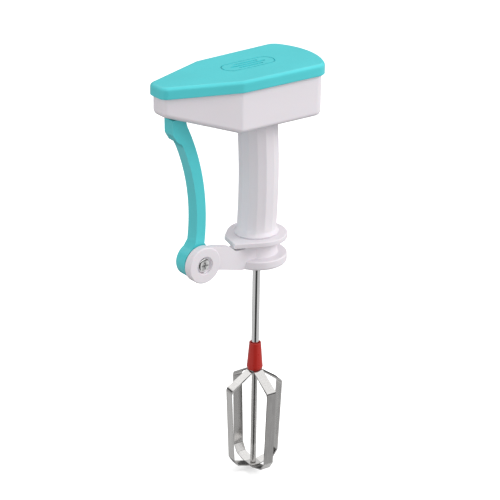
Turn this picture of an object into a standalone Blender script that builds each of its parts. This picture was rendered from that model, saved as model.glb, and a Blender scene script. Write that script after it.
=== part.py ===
"""Lever-driven hand beater, modelled as separate pieces in metres.

Frame: +Z up along the drive shaft, +X from the narrow lever end towards the wide rear end, -Y towards
the side that carries the pivot screw. The origin is on the shaft axis, halfway up the hand grip.
"""

import math

import bmesh
import bpy
from mathutils import Matrix, Vector

# ---- driving dimensions (metres, degrees) -----------------------------------------------------------
GAP = 0.0003                    # air between pieces that touch

# plan of the cover, symmetric about the X axis
TIP_X = -0.0915                 # corner of the narrow end
TIP_HALF = 0.0085
TIP_RADIUS = 0.0068
SHOULDER_X = -0.0360
SHOULDER_HALF = 0.0287
SHOULDER_RADIUS = 0.0120
REAR_X = 0.0345
REAR_HALF = 0.0308
REAR_RADIUS = 0.0100
REAR_BULGE = 0.0115             # how far the rear end bows out past its corners

# levels of the head
COVER_TOP_Z = 0.0845
COVER_DEPTH = 0.0085
COVER_PLATE = 0.0025
COVER_WALL = 0.0020
COVER_EDGE_ROUND = 0.0022
HOUSING_FLOOR_Z = 0.0450        # flat underside of the wide part
TIP_FLOOR_Z = 0.0630            # underside at the narrow end
HOUSING_WALL = 0.0020
HOUSING_INSET = COVER_WALL + GAP

# hand grip
GRIP_HALF_X = 0.0152
GRIP_HALF_Y = 0.0142
GRIP_LEAN = 0.0018              # and its foot this far towards -X
GRIP_WALL = 0.0028
GRIP_BOTTOM_Z = -0.0460
GRIP_BOW = 0.0018               # the middle of the grip stands this far towards +X
GRIP_RING = 0.0110              # solid ring at both ends, which takes the screws
RING_BORE = 0.0072
FLANGE_RADIUS = 0.0222
FLANGE_THICK = 0.0036
GUARD_CORNERS = ((-0.0240, 0.0080), (-0.0290, -0.0105))     # beak of the grip's flange
GUARD_ROUND = 0.0010

# bracket under the grip
NECK_RADIUS = 0.0150
LOWER_FLANGE_TOP = -0.0612
LOWER_FLANGE_BOTTOM = -0.0682
SPIGOT_RADIUS = RING_BORE - GAP
SPIGOT_TOP = -0.0400
ARM_END_X = -0.0030

# lever and its pivot
PIVOT_X = -0.0571
PIVOT_Z = -0.0543
LUG_RADIUS = 0.0137
LUG_FRONT_Y = -0.0133
LUG_BACK_Y = -0.0070
ARM_FRONT_Y = -0.0116
ARM_BACK_Y = -0.0074
LEVER_HALF_Y = 0.0052
HUB_RADIUS = 0.0126
SQUEEZE_DEG = 18.0              # the lever swings this far, half on each side of upright
NOSE_REACH = 0.1210             # pivot to the centre of the lever's nose
NOSE_RADIUS = 0.0035
NOSE_NECK = 0.0024               # half width of the neck under the nose
NOSE_NECK_LENGTH = 0.0072
SHOULDER_LEFT = (-0.0800, 0.0580)
SHOULDER_RIGHT = (-0.0690, 0.0560)
PIVOT_SCREW_RADIUS = 0.0020
SCREW_HEAD_RADIUS = 0.0052
LUG_RECESS_RADIUS = 0.0066
LUG_RECESS_DEPTH = 0.0030

# drive: rack, double gear, shaft pinion
RACK_MODULE = 0.0010
RACK_PINION_TEETH = 12
TRAIN_MODULE = 0.0008
WHEEL_TEETH = 48
PINION_TEETH = 12
WHEEL_X = -TRAIN_MODULE * (WHEEL_TEETH + PINION_TEETH) / 2
RACK_PITCH_Y = -RACK_MODULE * RACK_PINION_TEETH / 2
RACK_Z = 0.0670
RACK_HEIGHT = 0.0060
RACK_BACK_Y = -0.0120
RACK_START_X = -0.0660
RACK_END_X = -0.0185
YOKE_HALF_Y = 0.0058
YOKE_CHEEK = 0.0026
YOKE_LOW_Z = 0.0620
YOKE_HIGH_Z = 0.0733
PINION_LOW_Z = 0.0635
WHEEL_LOW_Z = 0.0743
WHEEL_HIGH_Z = 0.0783
AXLE_RADIUS = 0.0020
AXLE_SOCKET_RADIUS = 0.0040
AXLE_POST_RADIUS = 0.0036
GEAR_WASHER_RADIUS = 0.0042
RING_RADIUS = 0.0046              # snap ring on the shaft under the lower bush
PINION_HUB_RADIUS = 0.0036
SHAFT_RADIUS = 0.0028
SHAFT_TOP_Z = 0.0812
SHAFT_BOTTOM_Z = -0.1530
BUSH_RADIUS = 0.0055

# collar and whisk
COLLAR_TOP_Z = -0.1355
COLLAR_BOTTOM_Z = -0.1575
COLLAR_TOP_RADIUS = 0.0044
COLLAR_BOTTOM_RADIUS = 0.0061
OUTER_LOOP_TURN = 86.5          # turns of the two hand-set loops from the X axis
INNER_LOOP_TURN = -8.0
STRIP_WIDTH = 0.0080
STRIP_THICK = 0.0009
LOOP_FLAT_HALF = 0.0048         # flat middle at the top and the bottom, where the loops cross
LOOP_SHOULDER = (0.0232, -0.1692)
LOOP_FOOT = (0.0206, -0.2300)
LOOP_HEEL = (0.0164, -0.2362)
LOOP_TOP_Z = COLLAR_BOTTOM_Z - GAP
LOOP_BOTTOM_Z = -0.2394
STEM_RADIUS = 0.0022
STEM_PIN_RADIUS = 0.0013

NOSE_REST = math.radians(SQUEEZE_DEG / 2)
NOSE_X = PIVOT_X - NOSE_REACH * math.sin(NOSE_REST)
NOSE_Z = PIVOT_Z + NOSE_REACH * math.cos(NOSE_REST)

COVER_SCREWS = ((0.0270, -0.0190), (0.0270, 0.0190), (-0.0540, 0.0125))
RING_SCREWS = ((-0.0112, 0.0), (0.0108, 0.0))
THREAD_RADIUS = 0.0014
SCREW_HOLE = THREAD_RADIUS + GAP
HEAD_RADIUS = 0.0027
HEAD_HEIGHT = 0.0018
SCREW_WELL = 0.0060             # depth of the wells under the head
BRACKET_WELL = 0.0040
COVER_BOSS_RADIUS = 0.0034
COVER_BOSS_DEPTH = 0.0070
HOUSING_POST_RADIUS = 0.0038
SPACER_RADIUS = 0.0098
PIVOT_WASHER_RADIUS = 0.0050
PIVOT_NUT_RADIUS = 0.0041
SPRING_POCKET_RADIUS = 0.0080

SMOOTH_ANGLE = math.radians(35)

MATERIALS = {
    "teal_plastic": ((0.05, 0.55, 0.58), 0.30, 0.0),
    "white_plastic": ((0.83, 0.80, 0.84), 0.35, 0.0),
    "red_plastic": ((0.55, 0.02, 0.02), 0.35, 0.0),
    "nylon": ((0.85, 0.84, 0.78), 0.45, 0.0),
    "steel": ((0.62, 0.62, 0.63), 0.30, 1.0),
    "whisk_steel": ((0.58, 0.58, 0.59), 0.22, 1.0),
    "chrome": ((0.75, 0.75, 0.76), 0.12, 1.0),
    "brass": ((0.72, 0.55, 0.25), 0.35, 1.0),
}


# ---- scene helpers ----------------------------------------------------------------------------------
def clear_scene():
    for old in list(bpy.data.objects):
        bpy.data.objects.remove(old, do_unlink=True)


def make_collection(name):
    made = bpy.data.collections.new(name)
    bpy.context.scene.collection.children.link(made)
    return made


def make_materials():
    made = {}
    for name, (colour, roughness, metallic) in MATERIALS.items():
        material = bpy.data.materials.new(name)
        material.use_nodes = True
        shader = material.node_tree.nodes["Principled BSDF"]
        shader.inputs["Base Color"].default_value = (*colour, 1.0)
        shader.inputs["Roughness"].default_value = roughness
        shader.inputs["Metallic"].default_value = metallic
        material.diffuse_color = (*colour, 1.0)
        made[name] = material
    return made


def add_object(name, mesh, material=None):
    """A new object in the part's collection, or in the cutters' when it has no material."""
    item = bpy.data.objects.new(name, mesh)
    if material is None:
        CUTTERS.objects.link(item)
        item.hide_render = True
        item.display_type = "WIRE"
    else:
        PARTS.objects.link(item)
        mesh.materials.append(FINISH[material])
    return item


def smooth(item):
    item.data.shade_smooth()
    item.data.set_sharp_from_angle(angle=SMOOTH_ANGLE)
    return item


def boolean(item, operation, *others):
    for other in others:
        step = item.modifiers.new(operation.title(), "BOOLEAN")
        step.operation = operation
        step.solver = "EXACT"
        step.object = other
    return item


def cut(item, *cutters):
    return boolean(item, "DIFFERENCE", *cutters)


def join(item, *others):
    return boolean(item, "UNION", *others)


# ---- shape helpers ----------------------------------------------------------------------------------
def cylinder(name, radius, low, high, at=(0.0, 0.0), axis="Z", sides=32, material=None, top_radius=None):
    """A round bar from low to high along its axis; at gives its two other coordinates."""
    shape = bmesh.new()
    far = radius if top_radius is None else top_radius
    bmesh.ops.create_cone(
        shape, cap_ends=True, segments=sides, radius1=radius, radius2=far, depth=high - low,
        matrix=Matrix.Translation((0.0, 0.0, (low + high) / 2)))
    mesh = bpy.data.meshes.new(name)
    shape.to_mesh(mesh)
    shape.free()
    if axis == "Z":
        mesh.transform(Matrix.Translation((at[0], at[1], 0.0)))
    elif axis == "Y":
        mesh.transform(Matrix.Rotation(math.radians(-90), 4, "X"))
        mesh.transform(Matrix.Translation((at[0], 0.0, at[1])))
    return smooth(add_object(name, mesh, material))


def box(name, low, high, material=None):
    shape = bmesh.new()
    bmesh.ops.create_cube(shape, size=1.0)
    mesh = bpy.data.meshes.new(name)
    shape.to_mesh(mesh)
    shape.free()
    size = Vector(high) - Vector(low)
    middle = (Vector(high) + Vector(low)) / 2
    mesh.transform(Matrix.Translation(middle) @ Matrix.Diagonal((*size, 1.0)))
    return add_object(name, mesh, material)


def outline_solid(name, rings, low, high, plane="XY", material=None):
    """A flat outline with optional holes, from low to high along the third axis."""
    curve = bpy.data.curves.new(name, "CURVE")
    curve.dimensions = "2D"
    curve.fill_mode = "BOTH"
    curve.extrude = (high - low) / 2
    for ring in rings:
        spline = curve.splines.new("POLY")
        spline.points.add(len(ring) - 1)
        for point, (u, v) in zip(spline.points, ring):
            point.co = (u, v, 0.0, 1.0)
        spline.use_cyclic_u = True
    guide = bpy.data.objects.new(name, curve)
    bpy.context.scene.collection.objects.link(guide)
    if plane == "XZ":
        guide.rotation_euler.x = math.radians(90)
        guide.location.y = (low + high) / 2
    else:
        guide.location.z = (low + high) / 2
    bpy.context.view_layer.update()
    evaluated = guide.evaluated_get(bpy.context.evaluated_depsgraph_get())
    mesh = bpy.data.meshes.new_from_object(evaluated)
    mesh.transform(guide.matrix_world)
    bpy.data.objects.remove(guide)
    weld(mesh)
    return add_object(name, mesh, material)


def weld(mesh):
    shape = bmesh.new()
    shape.from_mesh(mesh)
    bmesh.ops.remove_doubles(shape, verts=shape.verts, dist=1e-6)
    bmesh.ops.recalc_face_normals(shape, faces=shape.faces)
    shape.to_mesh(mesh)
    shape.free()


def turned(name, profile, material=None, steps=32, at=(0.0, 0.0), axis="Z"):
    """A profile of (radius, height) points, run down its outer side, turned about the axis."""
    mesh = bpy.data.meshes.new(name)
    points = [(radius, 0.0, height) for radius, height in profile]
    mesh.from_pydata(points, [(i, i + 1) for i in range(len(points) - 1)], [])
    item = add_object(name, mesh, material)
    screw = item.modifiers.new("Screw", "SCREW")
    screw.steps = steps
    screw.render_steps = steps
    screw.use_merge_vertices = True
    screw.merge_threshold = 1e-6
    screw.use_smooth_shade = False
    if axis == "Y":
        item.rotation_euler.x = math.radians(-90)
        item.location = (at[0], 0.0, at[1])
    else:
        item.location = (at[0], at[1], 0.0)
    return item


def counterbore(name, at, top, seat, bottom):
    """Cutter for a screw that goes in from below: a thread hole above its seat, a well below it."""
    well = HEAD_RADIUS + GAP
    profile = [(0.0, top), (SCREW_HOLE, top), (SCREW_HOLE, seat),
               (well, seat), (well, bottom), (0.0, bottom)]
    return turned(name, profile, steps=12, at=at)


def arc(centre, radius, start, end, steps):
    """Points along an arc, angles in radians, both ends included."""
    points = []
    for i in range(steps + 1):
        angle = start + (end - start) * i / steps
        points.append((centre[0] + radius * math.cos(angle), centre[1] + radius * math.sin(angle)))
    return points


def rounded(corners, steps=5):
    """An outline from (x, y, radius) corners, each one rounded by its own radius."""
    points = []
    count = len(corners)
    for i, (x, y, radius) in enumerate(corners):
        here = Vector((x, y))
        if radius <= 0.0:
            points.append((x, y))
            continue
        back = (Vector(corners[i - 1][:2]) - here).normalized()
        ahead = (Vector(corners[(i + 1) % count][:2]) - here).normalized()
        half = math.acos(max(-1.0, min(1.0, back.dot(ahead)))) / 2
        centre = here + (back + ahead).normalized() * radius / math.sin(half)
        first = here + back * radius / math.tan(half) - centre
        last = here + ahead * radius / math.tan(half) - centre
        start = math.atan2(first.y, first.x)
        sweep = (math.atan2(last.y, last.x) - start + math.pi) % math.tau - math.pi
        points += arc(centre, radius, start, start + sweep, steps)
    return points


def inset_outline(points, distance):
    """The outline moved inwards; it runs anticlockwise."""
    moved = []
    count = len(points)
    for i, point in enumerate(points):
        before = Vector(point) - Vector(points[i - 1])
        after = Vector(points[(i + 1) % count]) - Vector(point)
        normal_before = Vector((-before.y, before.x)).normalized()
        normal_after = Vector((-after.y, after.x)).normalized()
        bisector = (normal_before + normal_after).normalized()
        reach = distance / max(0.5, bisector.dot(normal_before))
        moved.append(tuple(Vector(point) + bisector * reach))
    return moved


def head_outline(inset=0.0):
    """Plan of the head: narrow rounded tip, straight flanks, soft shoulders, bowed rear."""
    radius = (REAR_HALF ** 2 + REAR_BULGE ** 2) / (2 * REAR_BULGE)
    centre_x = REAR_X + REAR_BULGE - radius
    reach = math.asin(REAR_HALF / radius)
    bow = arc((centre_x, 0.0), radius, -reach * 0.8, reach * 0.8, 6)
    corners = [(TIP_X, -TIP_HALF, TIP_RADIUS), (SHOULDER_X, -SHOULDER_HALF, SHOULDER_RADIUS),
               (REAR_X, -REAR_HALF, REAR_RADIUS)]
    corners += [(x, y, 0.0) for x, y in bow]
    corners += [(REAR_X, REAR_HALF, REAR_RADIUS), (SHOULDER_X, SHOULDER_HALF, SHOULDER_RADIUS),
                (TIP_X, TIP_HALF, TIP_RADIUS)]
    return inset_outline(rounded(corners), inset)


def floor_z(x):
    """Height of the head's underside at x."""
    share = min(1.0, max(0.0, (SHOULDER_X - x) / (SHOULDER_X - TIP_X)))
    return HOUSING_FLOOR_Z + (TIP_FLOOR_Z - HOUSING_FLOOR_Z) * share


def head_block(name, inset, lift, top, material=None):
    """The head's outline from its stepped underside, raised by lift, up to top."""
    block = outline_solid(name, [head_outline(inset)], HOUSING_FLOOR_Z + lift, top, material=material)
    slope = (TIP_FLOOR_Z - HOUSING_FLOOR_Z) / (SHOULDER_X - TIP_X)
    run_in = 0.010
    run_out = SHOULDER_X - TIP_X + 0.020
    base = HOUSING_FLOOR_Z + lift
    wedge = [(SHOULDER_X + run_in, base - slope * run_in), (SHOULDER_X - run_out, base + slope * run_out),
             (SHOULDER_X - run_out, base - 0.020), (SHOULDER_X + run_in, base - 0.020)]
    under = outline_solid(name + "_wedge", [wedge], -0.05, 0.05, plane="XZ")
    return cut(block, under)


def gear_outline(teeth, module, phase, centre=(0.0, 0.0), fullness=0.72):
    """Straight-flanked teeth with backlash; a tooth is centred on the phase angle."""
    pitch = module * teeth / 2
    tip = pitch + 0.9 * module
    root = pitch - 1.2 * module
    half = math.pi / 2 / teeth * fullness
    lean = math.tan(math.radians(20)) * module
    half_tip = max(0.10 * module / tip, half - 0.9 * lean / tip)
    half_root = half + 1.0 * lean / root
    points = []
    for i in range(teeth):
        angle = phase + math.tau * i / teeth
        for radius, offset in ((root, -half_root), (tip, -half_tip), (tip, half_tip), (root, half_root)):
            points.append((centre[0] + radius * math.cos(angle + offset),
                           centre[1] + radius * math.sin(angle + offset)))
    return points


# ---- head -------------------------------------------------------------------------------------------
def make_top_cover():
    low = COVER_TOP_Z - COVER_DEPTH
    cover = outline_solid("top_cover", [head_outline()], low, COVER_TOP_Z, material="teal_plastic")
    shape = bmesh.new()
    shape.from_mesh(cover.data)
    rim = [edge for edge in shape.edges if edge.is_manifold
           and all(abs(v.co.z - COVER_TOP_Z) < 1e-6 for v in edge.verts)
           and abs(edge.calc_face_angle(0.0)) > 1.0]
    bmesh.ops.bevel(shape, geom=rim, offset=COVER_EDGE_ROUND, segments=2, profile=0.5, affect="EDGES")
    shape.to_mesh(cover.data)
    shape.free()
    ceiling = COVER_TOP_Z - COVER_PLATE
    hollow = outline_solid("cover_hollow", [head_outline(COVER_WALL)], low - 0.001, ceiling)
    cut(cover, hollow)
    for i, spot in enumerate(COVER_SCREWS, 1):
        low_end = ceiling - COVER_BOSS_DEPTH
        boss = cylinder(f"cover_boss_{i}", COVER_BOSS_RADIUS, low_end, ceiling + 0.0005, at=spot, sides=16)
        hole = cylinder(f"cover_boss_hole_{i}", SCREW_HOLE, low_end - 0.0005, ceiling, at=spot, sides=12)
        join(cover, boss)
        cut(cover, hole)
    axle = (WHEEL_X, 0.0)
    socket_low = WHEEL_HIGH_Z + GAP
    socket = cylinder("axle_socket", AXLE_SOCKET_RADIUS, socket_low, ceiling + 0.0005, at=axle, sides=20)
    seat = cylinder("axle_seat", AXLE_RADIUS + GAP, WHEEL_HIGH_Z, ceiling, at=axle, sides=16)
    join(cover, socket)
    cut(cover, seat)
    return cover


def make_gear_housing():
    top = COVER_TOP_Z - COVER_PLATE - GAP
    housing = head_block("gear_housing", HOUSING_INSET, 0.0, top, material="white_plastic")
    hollow = head_block("housing_hollow", HOUSING_INSET + HOUSING_WALL, HOUSING_WALL, top + 0.01)
    cut(housing, hollow)
    floor = HOUSING_FLOOR_Z + HOUSING_WALL
    for i, spot in enumerate(COVER_SCREWS, 1):
        under = floor_z(spot[0])
        post_top = COVER_TOP_Z - COVER_PLATE - COVER_BOSS_DEPTH - GAP
        post = cylinder(f"housing_post_{i}", HOUSING_POST_RADIUS, under + 0.0010, post_top, at=spot, sides=16)
        join(housing, post)
        hole = counterbore(f"housing_post_hole_{i}", spot, post_top + 0.001, under + SCREW_WELL, 0.030)
        cut(housing, hole)
    axle = (WHEEL_X, 0.0)
    post = cylinder("axle_post", AXLE_POST_RADIUS, floor - 0.0005, PINION_LOW_Z - 0.0012, at=axle, sides=20)
    seat = cylinder("axle_post_seat", AXLE_RADIUS + GAP, floor + 0.0040, PINION_LOW_Z, at=axle, sides=16)
    join(housing, post)
    cut(housing, seat)
    rib = box("rack_rib", (-0.0350, -0.0155, floor - 0.0005), (0.0200, -0.0123, RACK_Z + RACK_HEIGHT / 2))
    shelf_top = RACK_Z - RACK_HEIGHT / 2 - GAP
    shelf = box("rack_shelf", (-0.0350, -0.0125, floor - 0.0005), (0.0200, -0.0085, shelf_top))
    join(housing, rib, shelf)
    slot = box("lever_slot", (-0.0845, -0.0062, 0.030), (-0.0283, 0.0062, 0.0660))
    cut(housing, slot)
    bore = cylinder("housing_bore", BUSH_RADIUS + GAP, 0.040, floor + 0.001, sides=24)
    cut(housing, bore)
    for i, spot in enumerate(RING_SCREWS, 1):
        cut(housing, cylinder(f"floor_hole_{i}", SCREW_HOLE, 0.040, floor + 0.001, at=spot, sides=12))
    return housing


# ---- grip and bracket -------------------------------------------------------------------------------
def grip_centre_x(z):
    """The grip bows gently towards +X between its two ends."""
    share = (z - GRIP_BOTTOM_Z) / (HOUSING_FLOOR_Z - GRIP_BOTTOM_Z)
    return GRIP_BOW * math.sin(math.pi * share) - GRIP_LEAN * (1.0 + share) / 2


def grip_column(name, half_x, half_y, low, high, material=None, sides=28):
    """An oval column that follows the grip's bow."""
    shape = bmesh.new()
    bmesh.ops.create_cone(shape, cap_ends=True, segments=sides, radius1=1.0, radius2=1.0, depth=high - low,
                          matrix=Matrix.Translation((0.0, 0.0, (low + high) / 2)))
    rings = 6
    for i in range(1, rings):
        level = (0.0, 0.0, low + (high - low) * i / rings)
        everything = shape.verts[:] + shape.edges[:] + shape.faces[:]
        bmesh.ops.bisect_plane(shape, geom=everything, plane_co=level, plane_no=(0.0, 0.0, 1.0))
    for vertex in shape.verts:
        vertex.co.x = vertex.co.x * half_x + grip_centre_x(vertex.co.z)
        vertex.co.y *= half_y
    mesh = bpy.data.meshes.new(name)
    shape.to_mesh(mesh)
    shape.free()
    return smooth(add_object(name, mesh, material))


def tangent_turn(corner):
    """Angle between a corner's direction and the point where its tangent meets the flange."""
    return math.acos(FLANGE_RADIUS / math.hypot(*corner))


def guard_outline():
    """Plan of the grip's flange: a disc with a two-cornered beak over the bracket's arm."""
    back, front = GUARD_CORNERS
    start = math.atan2(front[1], front[0]) + tangent_turn(front)
    end = math.atan2(back[1], back[0]) - tangent_turn(back)
    points = arc((0.0, 0.0), FLANGE_RADIUS, start, end, 34)
    corners = [(*points[-1], 0.0), (*back, GUARD_ROUND), (*front, GUARD_ROUND), (*points[0], 0.0)]
    return points + rounded(corners, steps=2)[1:-1]


def make_hand_grip():
    top = HOUSING_FLOOR_Z - GAP
    grip = grip_column("hand_grip", GRIP_HALF_X, GRIP_HALF_Y, GRIP_BOTTOM_Z, top, material="white_plastic")
    flange_low = GRIP_BOTTOM_Z - FLANGE_THICK
    flange = outline_solid("grip_flange", [guard_outline()], flange_low, GRIP_BOTTOM_Z + 0.0004)
    join(grip, flange)
    hollow = grip_column("grip_hollow", GRIP_HALF_X - GRIP_WALL, GRIP_HALF_Y - GRIP_WALL,
                         GRIP_BOTTOM_Z + GRIP_RING, top - GRIP_RING)
    cut(grip, hollow)
    ring_top = GRIP_BOTTOM_Z + GRIP_RING
    cut(grip, cylinder("grip_lower_bore", RING_BORE, GRIP_BOTTOM_Z - 0.01, ring_top + 0.001, sides=24))
    ring_low = top - GRIP_RING
    upper_bore = cylinder("grip_upper_bore", BUSH_RADIUS + GAP, ring_low - 0.001, top + 0.001, sides=24)
    cut(grip, upper_bore)
    for i, spot in enumerate(RING_SCREWS, 1):
        cut(grip, cylinder(f"grip_top_hole_{i}", SCREW_HOLE, top - 0.0095, top + 0.001, at=spot, sides=12))
        hole_top = GRIP_BOTTOM_Z + 0.0080
        low_hole = cylinder(f"grip_low_hole_{i}", SCREW_HOLE, -0.060, hole_top, at=spot, sides=12)
        cut(grip, low_hole)
    return grip


def make_pivot_bracket():
    neck_top = GRIP_BOTTOM_Z - FLANGE_THICK - GAP
    bracket = turned("pivot_bracket", [
        (0.0, SPIGOT_TOP), (SPIGOT_RADIUS, SPIGOT_TOP), (SPIGOT_RADIUS, neck_top), (NECK_RADIUS, neck_top),
        (NECK_RADIUS, LOWER_FLANGE_TOP), (FLANGE_RADIUS - 0.0008, LOWER_FLANGE_TOP),
        (FLANGE_RADIUS, LOWER_FLANGE_TOP - 0.0008), (FLANGE_RADIUS, LOWER_FLANGE_BOTTOM + 0.0015),
        (FLANGE_RADIUS - 0.0015, LOWER_FLANGE_BOTTOM), (0.0, LOWER_FLANGE_BOTTOM)],
        material="white_plastic", steps=40)
    arm_top = PIVOT_Z + LUG_RADIUS - 0.0006
    arm = [(PIVOT_X, arm_top), (PIVOT_X + 0.0100, arm_top - 0.0010), (-0.0345, arm_top - 0.0042),
           (-0.0282, neck_top - 0.0010), (ARM_END_X, neck_top - 0.0010),
           (ARM_END_X, LOWER_FLANGE_BOTTOM + 0.0012), (-0.0230, LOWER_FLANGE_BOTTOM + 0.0012),
           (-0.0360, PIVOT_Z - 0.0092), (-0.0450, PIVOT_Z - 0.0068),
           (PIVOT_X, PIVOT_Z - 0.0068)]
    arm.reverse()
    join(bracket, outline_solid("bracket_arm", [arm], ARM_FRONT_Y, ARM_BACK_Y, plane="XZ"))
    pivot = (PIVOT_X, PIVOT_Z)
    lug = cylinder("bracket_lug", LUG_RADIUS, LUG_FRONT_Y, LUG_BACK_Y, at=pivot, axis="Y", sides=36)
    join(bracket, lug)
    recess = cylinder("lug_recess", LUG_RECESS_RADIUS, LUG_FRONT_Y - 0.001, LUG_FRONT_Y + LUG_RECESS_DEPTH,
                      at=pivot, axis="Y", sides=28)
    bore = cylinder("lug_bore", PIVOT_SCREW_RADIUS + GAP, LUG_FRONT_Y + 0.001, LUG_BACK_Y + 0.001, at=pivot,
                    axis="Y", sides=20)
    cut(bracket, recess, bore)
    cut(bracket, cylinder("bush_seat", BUSH_RADIUS + GAP, -0.0560, SPIGOT_TOP + 0.001, sides=24))
    cut(bracket, cylinder("shaft_way", SHAFT_RADIUS + 0.0006, -0.080, -0.050, sides=24))
    for i, spot in enumerate(RING_SCREWS, 1):
        seat = LOWER_FLANGE_BOTTOM + BRACKET_WELL
        cut(bracket, counterbore(f"bracket_hole_{i}", spot, -0.045, seat, -0.080))
    return bracket


# ---- lever ------------------------------------------------------------------------------------------
def nose_outline():
    """The nose and its narrower neck, which points at the pivot."""
    down = (math.sin(NOSE_REST), -math.cos(NOSE_REST))
    meet = math.asin(NOSE_NECK / NOSE_RADIUS)
    straight = math.atan2(down[1], down[0])
    nose = arc((NOSE_X, NOSE_Z), NOSE_RADIUS, straight + meet, straight - meet + math.tau, 12)
    foot_x = NOSE_X + down[0] * NOSE_NECK_LENGTH
    foot_z = NOSE_Z + down[1] * NOSE_NECK_LENGTH
    right = (foot_x - down[1] * NOSE_NECK, foot_z + down[0] * NOSE_NECK)
    left = (foot_x + down[1] * NOSE_NECK, foot_z - down[0] * NOSE_NECK)
    return [right] + nose + [left]


def lever_outline():
    """Side view of the lever at rest: round hub, curved blade, flared thumb stop and round nose."""
    apex_z = -0.0215
    inner_radius = 0.1670
    outer_radius = 0.1430
    inner_x = -0.0509 - inner_radius
    outer_x = -0.0588 - outer_radius
    inner_start = math.asin((-0.0410 - apex_z) / inner_radius)
    inner_end = math.asin((0.0510 - apex_z) / inner_radius)
    outer_start = math.asin((0.0350 - apex_z) / outer_radius)
    outer_end = math.asin((-0.0385 - apex_z) / outer_radius)
    points = arc((inner_x, apex_z), inner_radius, inner_start, inner_end, 12)
    points.append(SHOULDER_RIGHT)
    points += nose_outline()
    points += [SHOULDER_LEFT, (-0.0797, 0.0470), (-0.0765, 0.0415), (-0.0722, 0.0385)]
    points += arc((outer_x, apex_z), outer_radius, outer_start, outer_end, 10)
    points += arc((PIVOT_X, PIVOT_Z), HUB_RADIUS, math.radians(118), math.radians(412), 24)
    return points


def make_lever():
    lever = outline_solid("lever", [lever_outline()], -LEVER_HALF_Y, LEVER_HALF_Y, plane="XZ",
                          material="teal_plastic")
    pivot = (PIVOT_X, PIVOT_Z)
    bore = cylinder("lever_bore", PIVOT_SCREW_RADIUS + GAP, -0.010, 0.010, at=pivot, axis="Y", sides=20)
    pocket = cylinder("spring_pocket", SPRING_POCKET_RADIUS, -0.010, -0.0004, at=pivot, axis="Y", sides=24)
    cut(lever, bore, pocket)
    return lever


def make_return_spring():
    """A torsion spring round the pivot screw, in the hub's pocket."""
    turns = 3
    per_turn = 14
    wire = 0.00045
    radius = 0.0058
    start_y = -0.0046
    rise = 0.0034
    curve = bpy.data.curves.new("return_spring", "CURVE")
    curve.dimensions = "3D"
    curve.bevel_depth = wire
    curve.bevel_resolution = 1
    curve.use_fill_caps = True
    spline = curve.splines.new("POLY")
    count = turns * per_turn
    spline.points.add(count)
    for i, point in enumerate(spline.points):
        angle = math.tau * i / per_turn
        point.co = (PIVOT_X + radius * math.cos(angle), start_y + rise * i / count,
                    PIVOT_Z + radius * math.sin(angle), 1.0)
    spring = bpy.data.objects.new("return_spring", curve)
    PARTS.objects.link(spring)
    curve.materials.append(FINISH["steel"])
    return spring


def make_pivot_hardware():
    pivot = (PIVOT_X, PIVOT_Z)
    seat = LUG_FRONT_Y + LUG_RECESS_DEPTH - GAP
    head_top = seat - 0.0024
    screw = turned("pivot_screw", [
        (0.0, 0.0122), (PIVOT_SCREW_RADIUS, 0.0122), (PIVOT_SCREW_RADIUS, seat), (SCREW_HEAD_RADIUS, seat),
        (SCREW_HEAD_RADIUS, seat - 0.0009), (SCREW_HEAD_RADIUS * 0.8, head_top + 0.0003), (0.0, head_top)],
        material="chrome", steps=24, at=pivot, axis="Y")
    for i, half in enumerate(((0.0026, 0.00055), (0.00055, 0.0026)), 1):
        slot = box(f"cross_slot_{i}", (PIVOT_X - half[0], head_top - 0.001, PIVOT_Z - half[1]),
                   (PIVOT_X + half[0], head_top + 0.0012, PIVOT_Z + half[1]))
        cut(screw, slot)
    spacer_low = LUG_BACK_Y + GAP
    spacer_high = -LEVER_HALF_Y - GAP
    spacer = cylinder("pivot_spacer", SPACER_RADIUS, spacer_low, spacer_high, at=pivot, axis="Y", sides=28,
                      material="nylon")
    cut(spacer, cylinder("spacer_hole", PIVOT_SCREW_RADIUS + GAP, -0.02, 0.0, at=pivot, axis="Y", sides=20))
    washer_low = LEVER_HALF_Y + GAP
    washer_high = washer_low + 0.0010
    washer = cylinder("pivot_washer", PIVOT_WASHER_RADIUS, washer_low, washer_high, at=pivot, axis="Y",
                      sides=24, material="steel")
    cut(washer, cylinder("washer_hole", PIVOT_SCREW_RADIUS + GAP, 0.0, 0.02, at=pivot, axis="Y", sides=20))
    nut_low = washer_high + GAP
    nut = cylinder("pivot_nut", PIVOT_NUT_RADIUS, nut_low, nut_low + 0.0032, at=pivot, axis="Y", sides=6,
                   material="steel")
    cut(nut, cylinder("nut_hole", PIVOT_SCREW_RADIUS + GAP, 0.0, 0.02, at=pivot, axis="Y", sides=20))


# ---- drive ------------------------------------------------------------------------------------------
def rack_outline():
    """Plan of the rack bar: teeth towards +Y, and a foot that reaches the yoke."""
    tip_y = RACK_PITCH_Y + 0.9 * RACK_MODULE
    root_y = RACK_PITCH_Y - 1.2 * RACK_MODULE
    pitch = math.pi * RACK_MODULE
    half = pitch / 4 * 0.72
    lean = math.tan(math.radians(20)) * RACK_MODULE
    points = [(-0.0708, -0.0050), (-0.0715, -YOKE_HALF_Y), (RACK_START_X, RACK_BACK_Y),
              (RACK_END_X, RACK_BACK_Y), (RACK_END_X, root_y)]
    index = math.floor((RACK_END_X - WHEEL_X) / pitch - 0.8)
    while WHEEL_X + (index + 0.5) * pitch > RACK_START_X + 0.003:
        x = WHEEL_X + (index + 0.5) * pitch
        points += [(x + half + lean, root_y), (x + half - 0.9 * lean, tip_y),
                   (x - half + 0.9 * lean, tip_y), (x - half - lean, root_y)]
        index -= 1
    points += [(RACK_START_X + 0.001, root_y), (RACK_START_X, -0.0050)]
    return points


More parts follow.
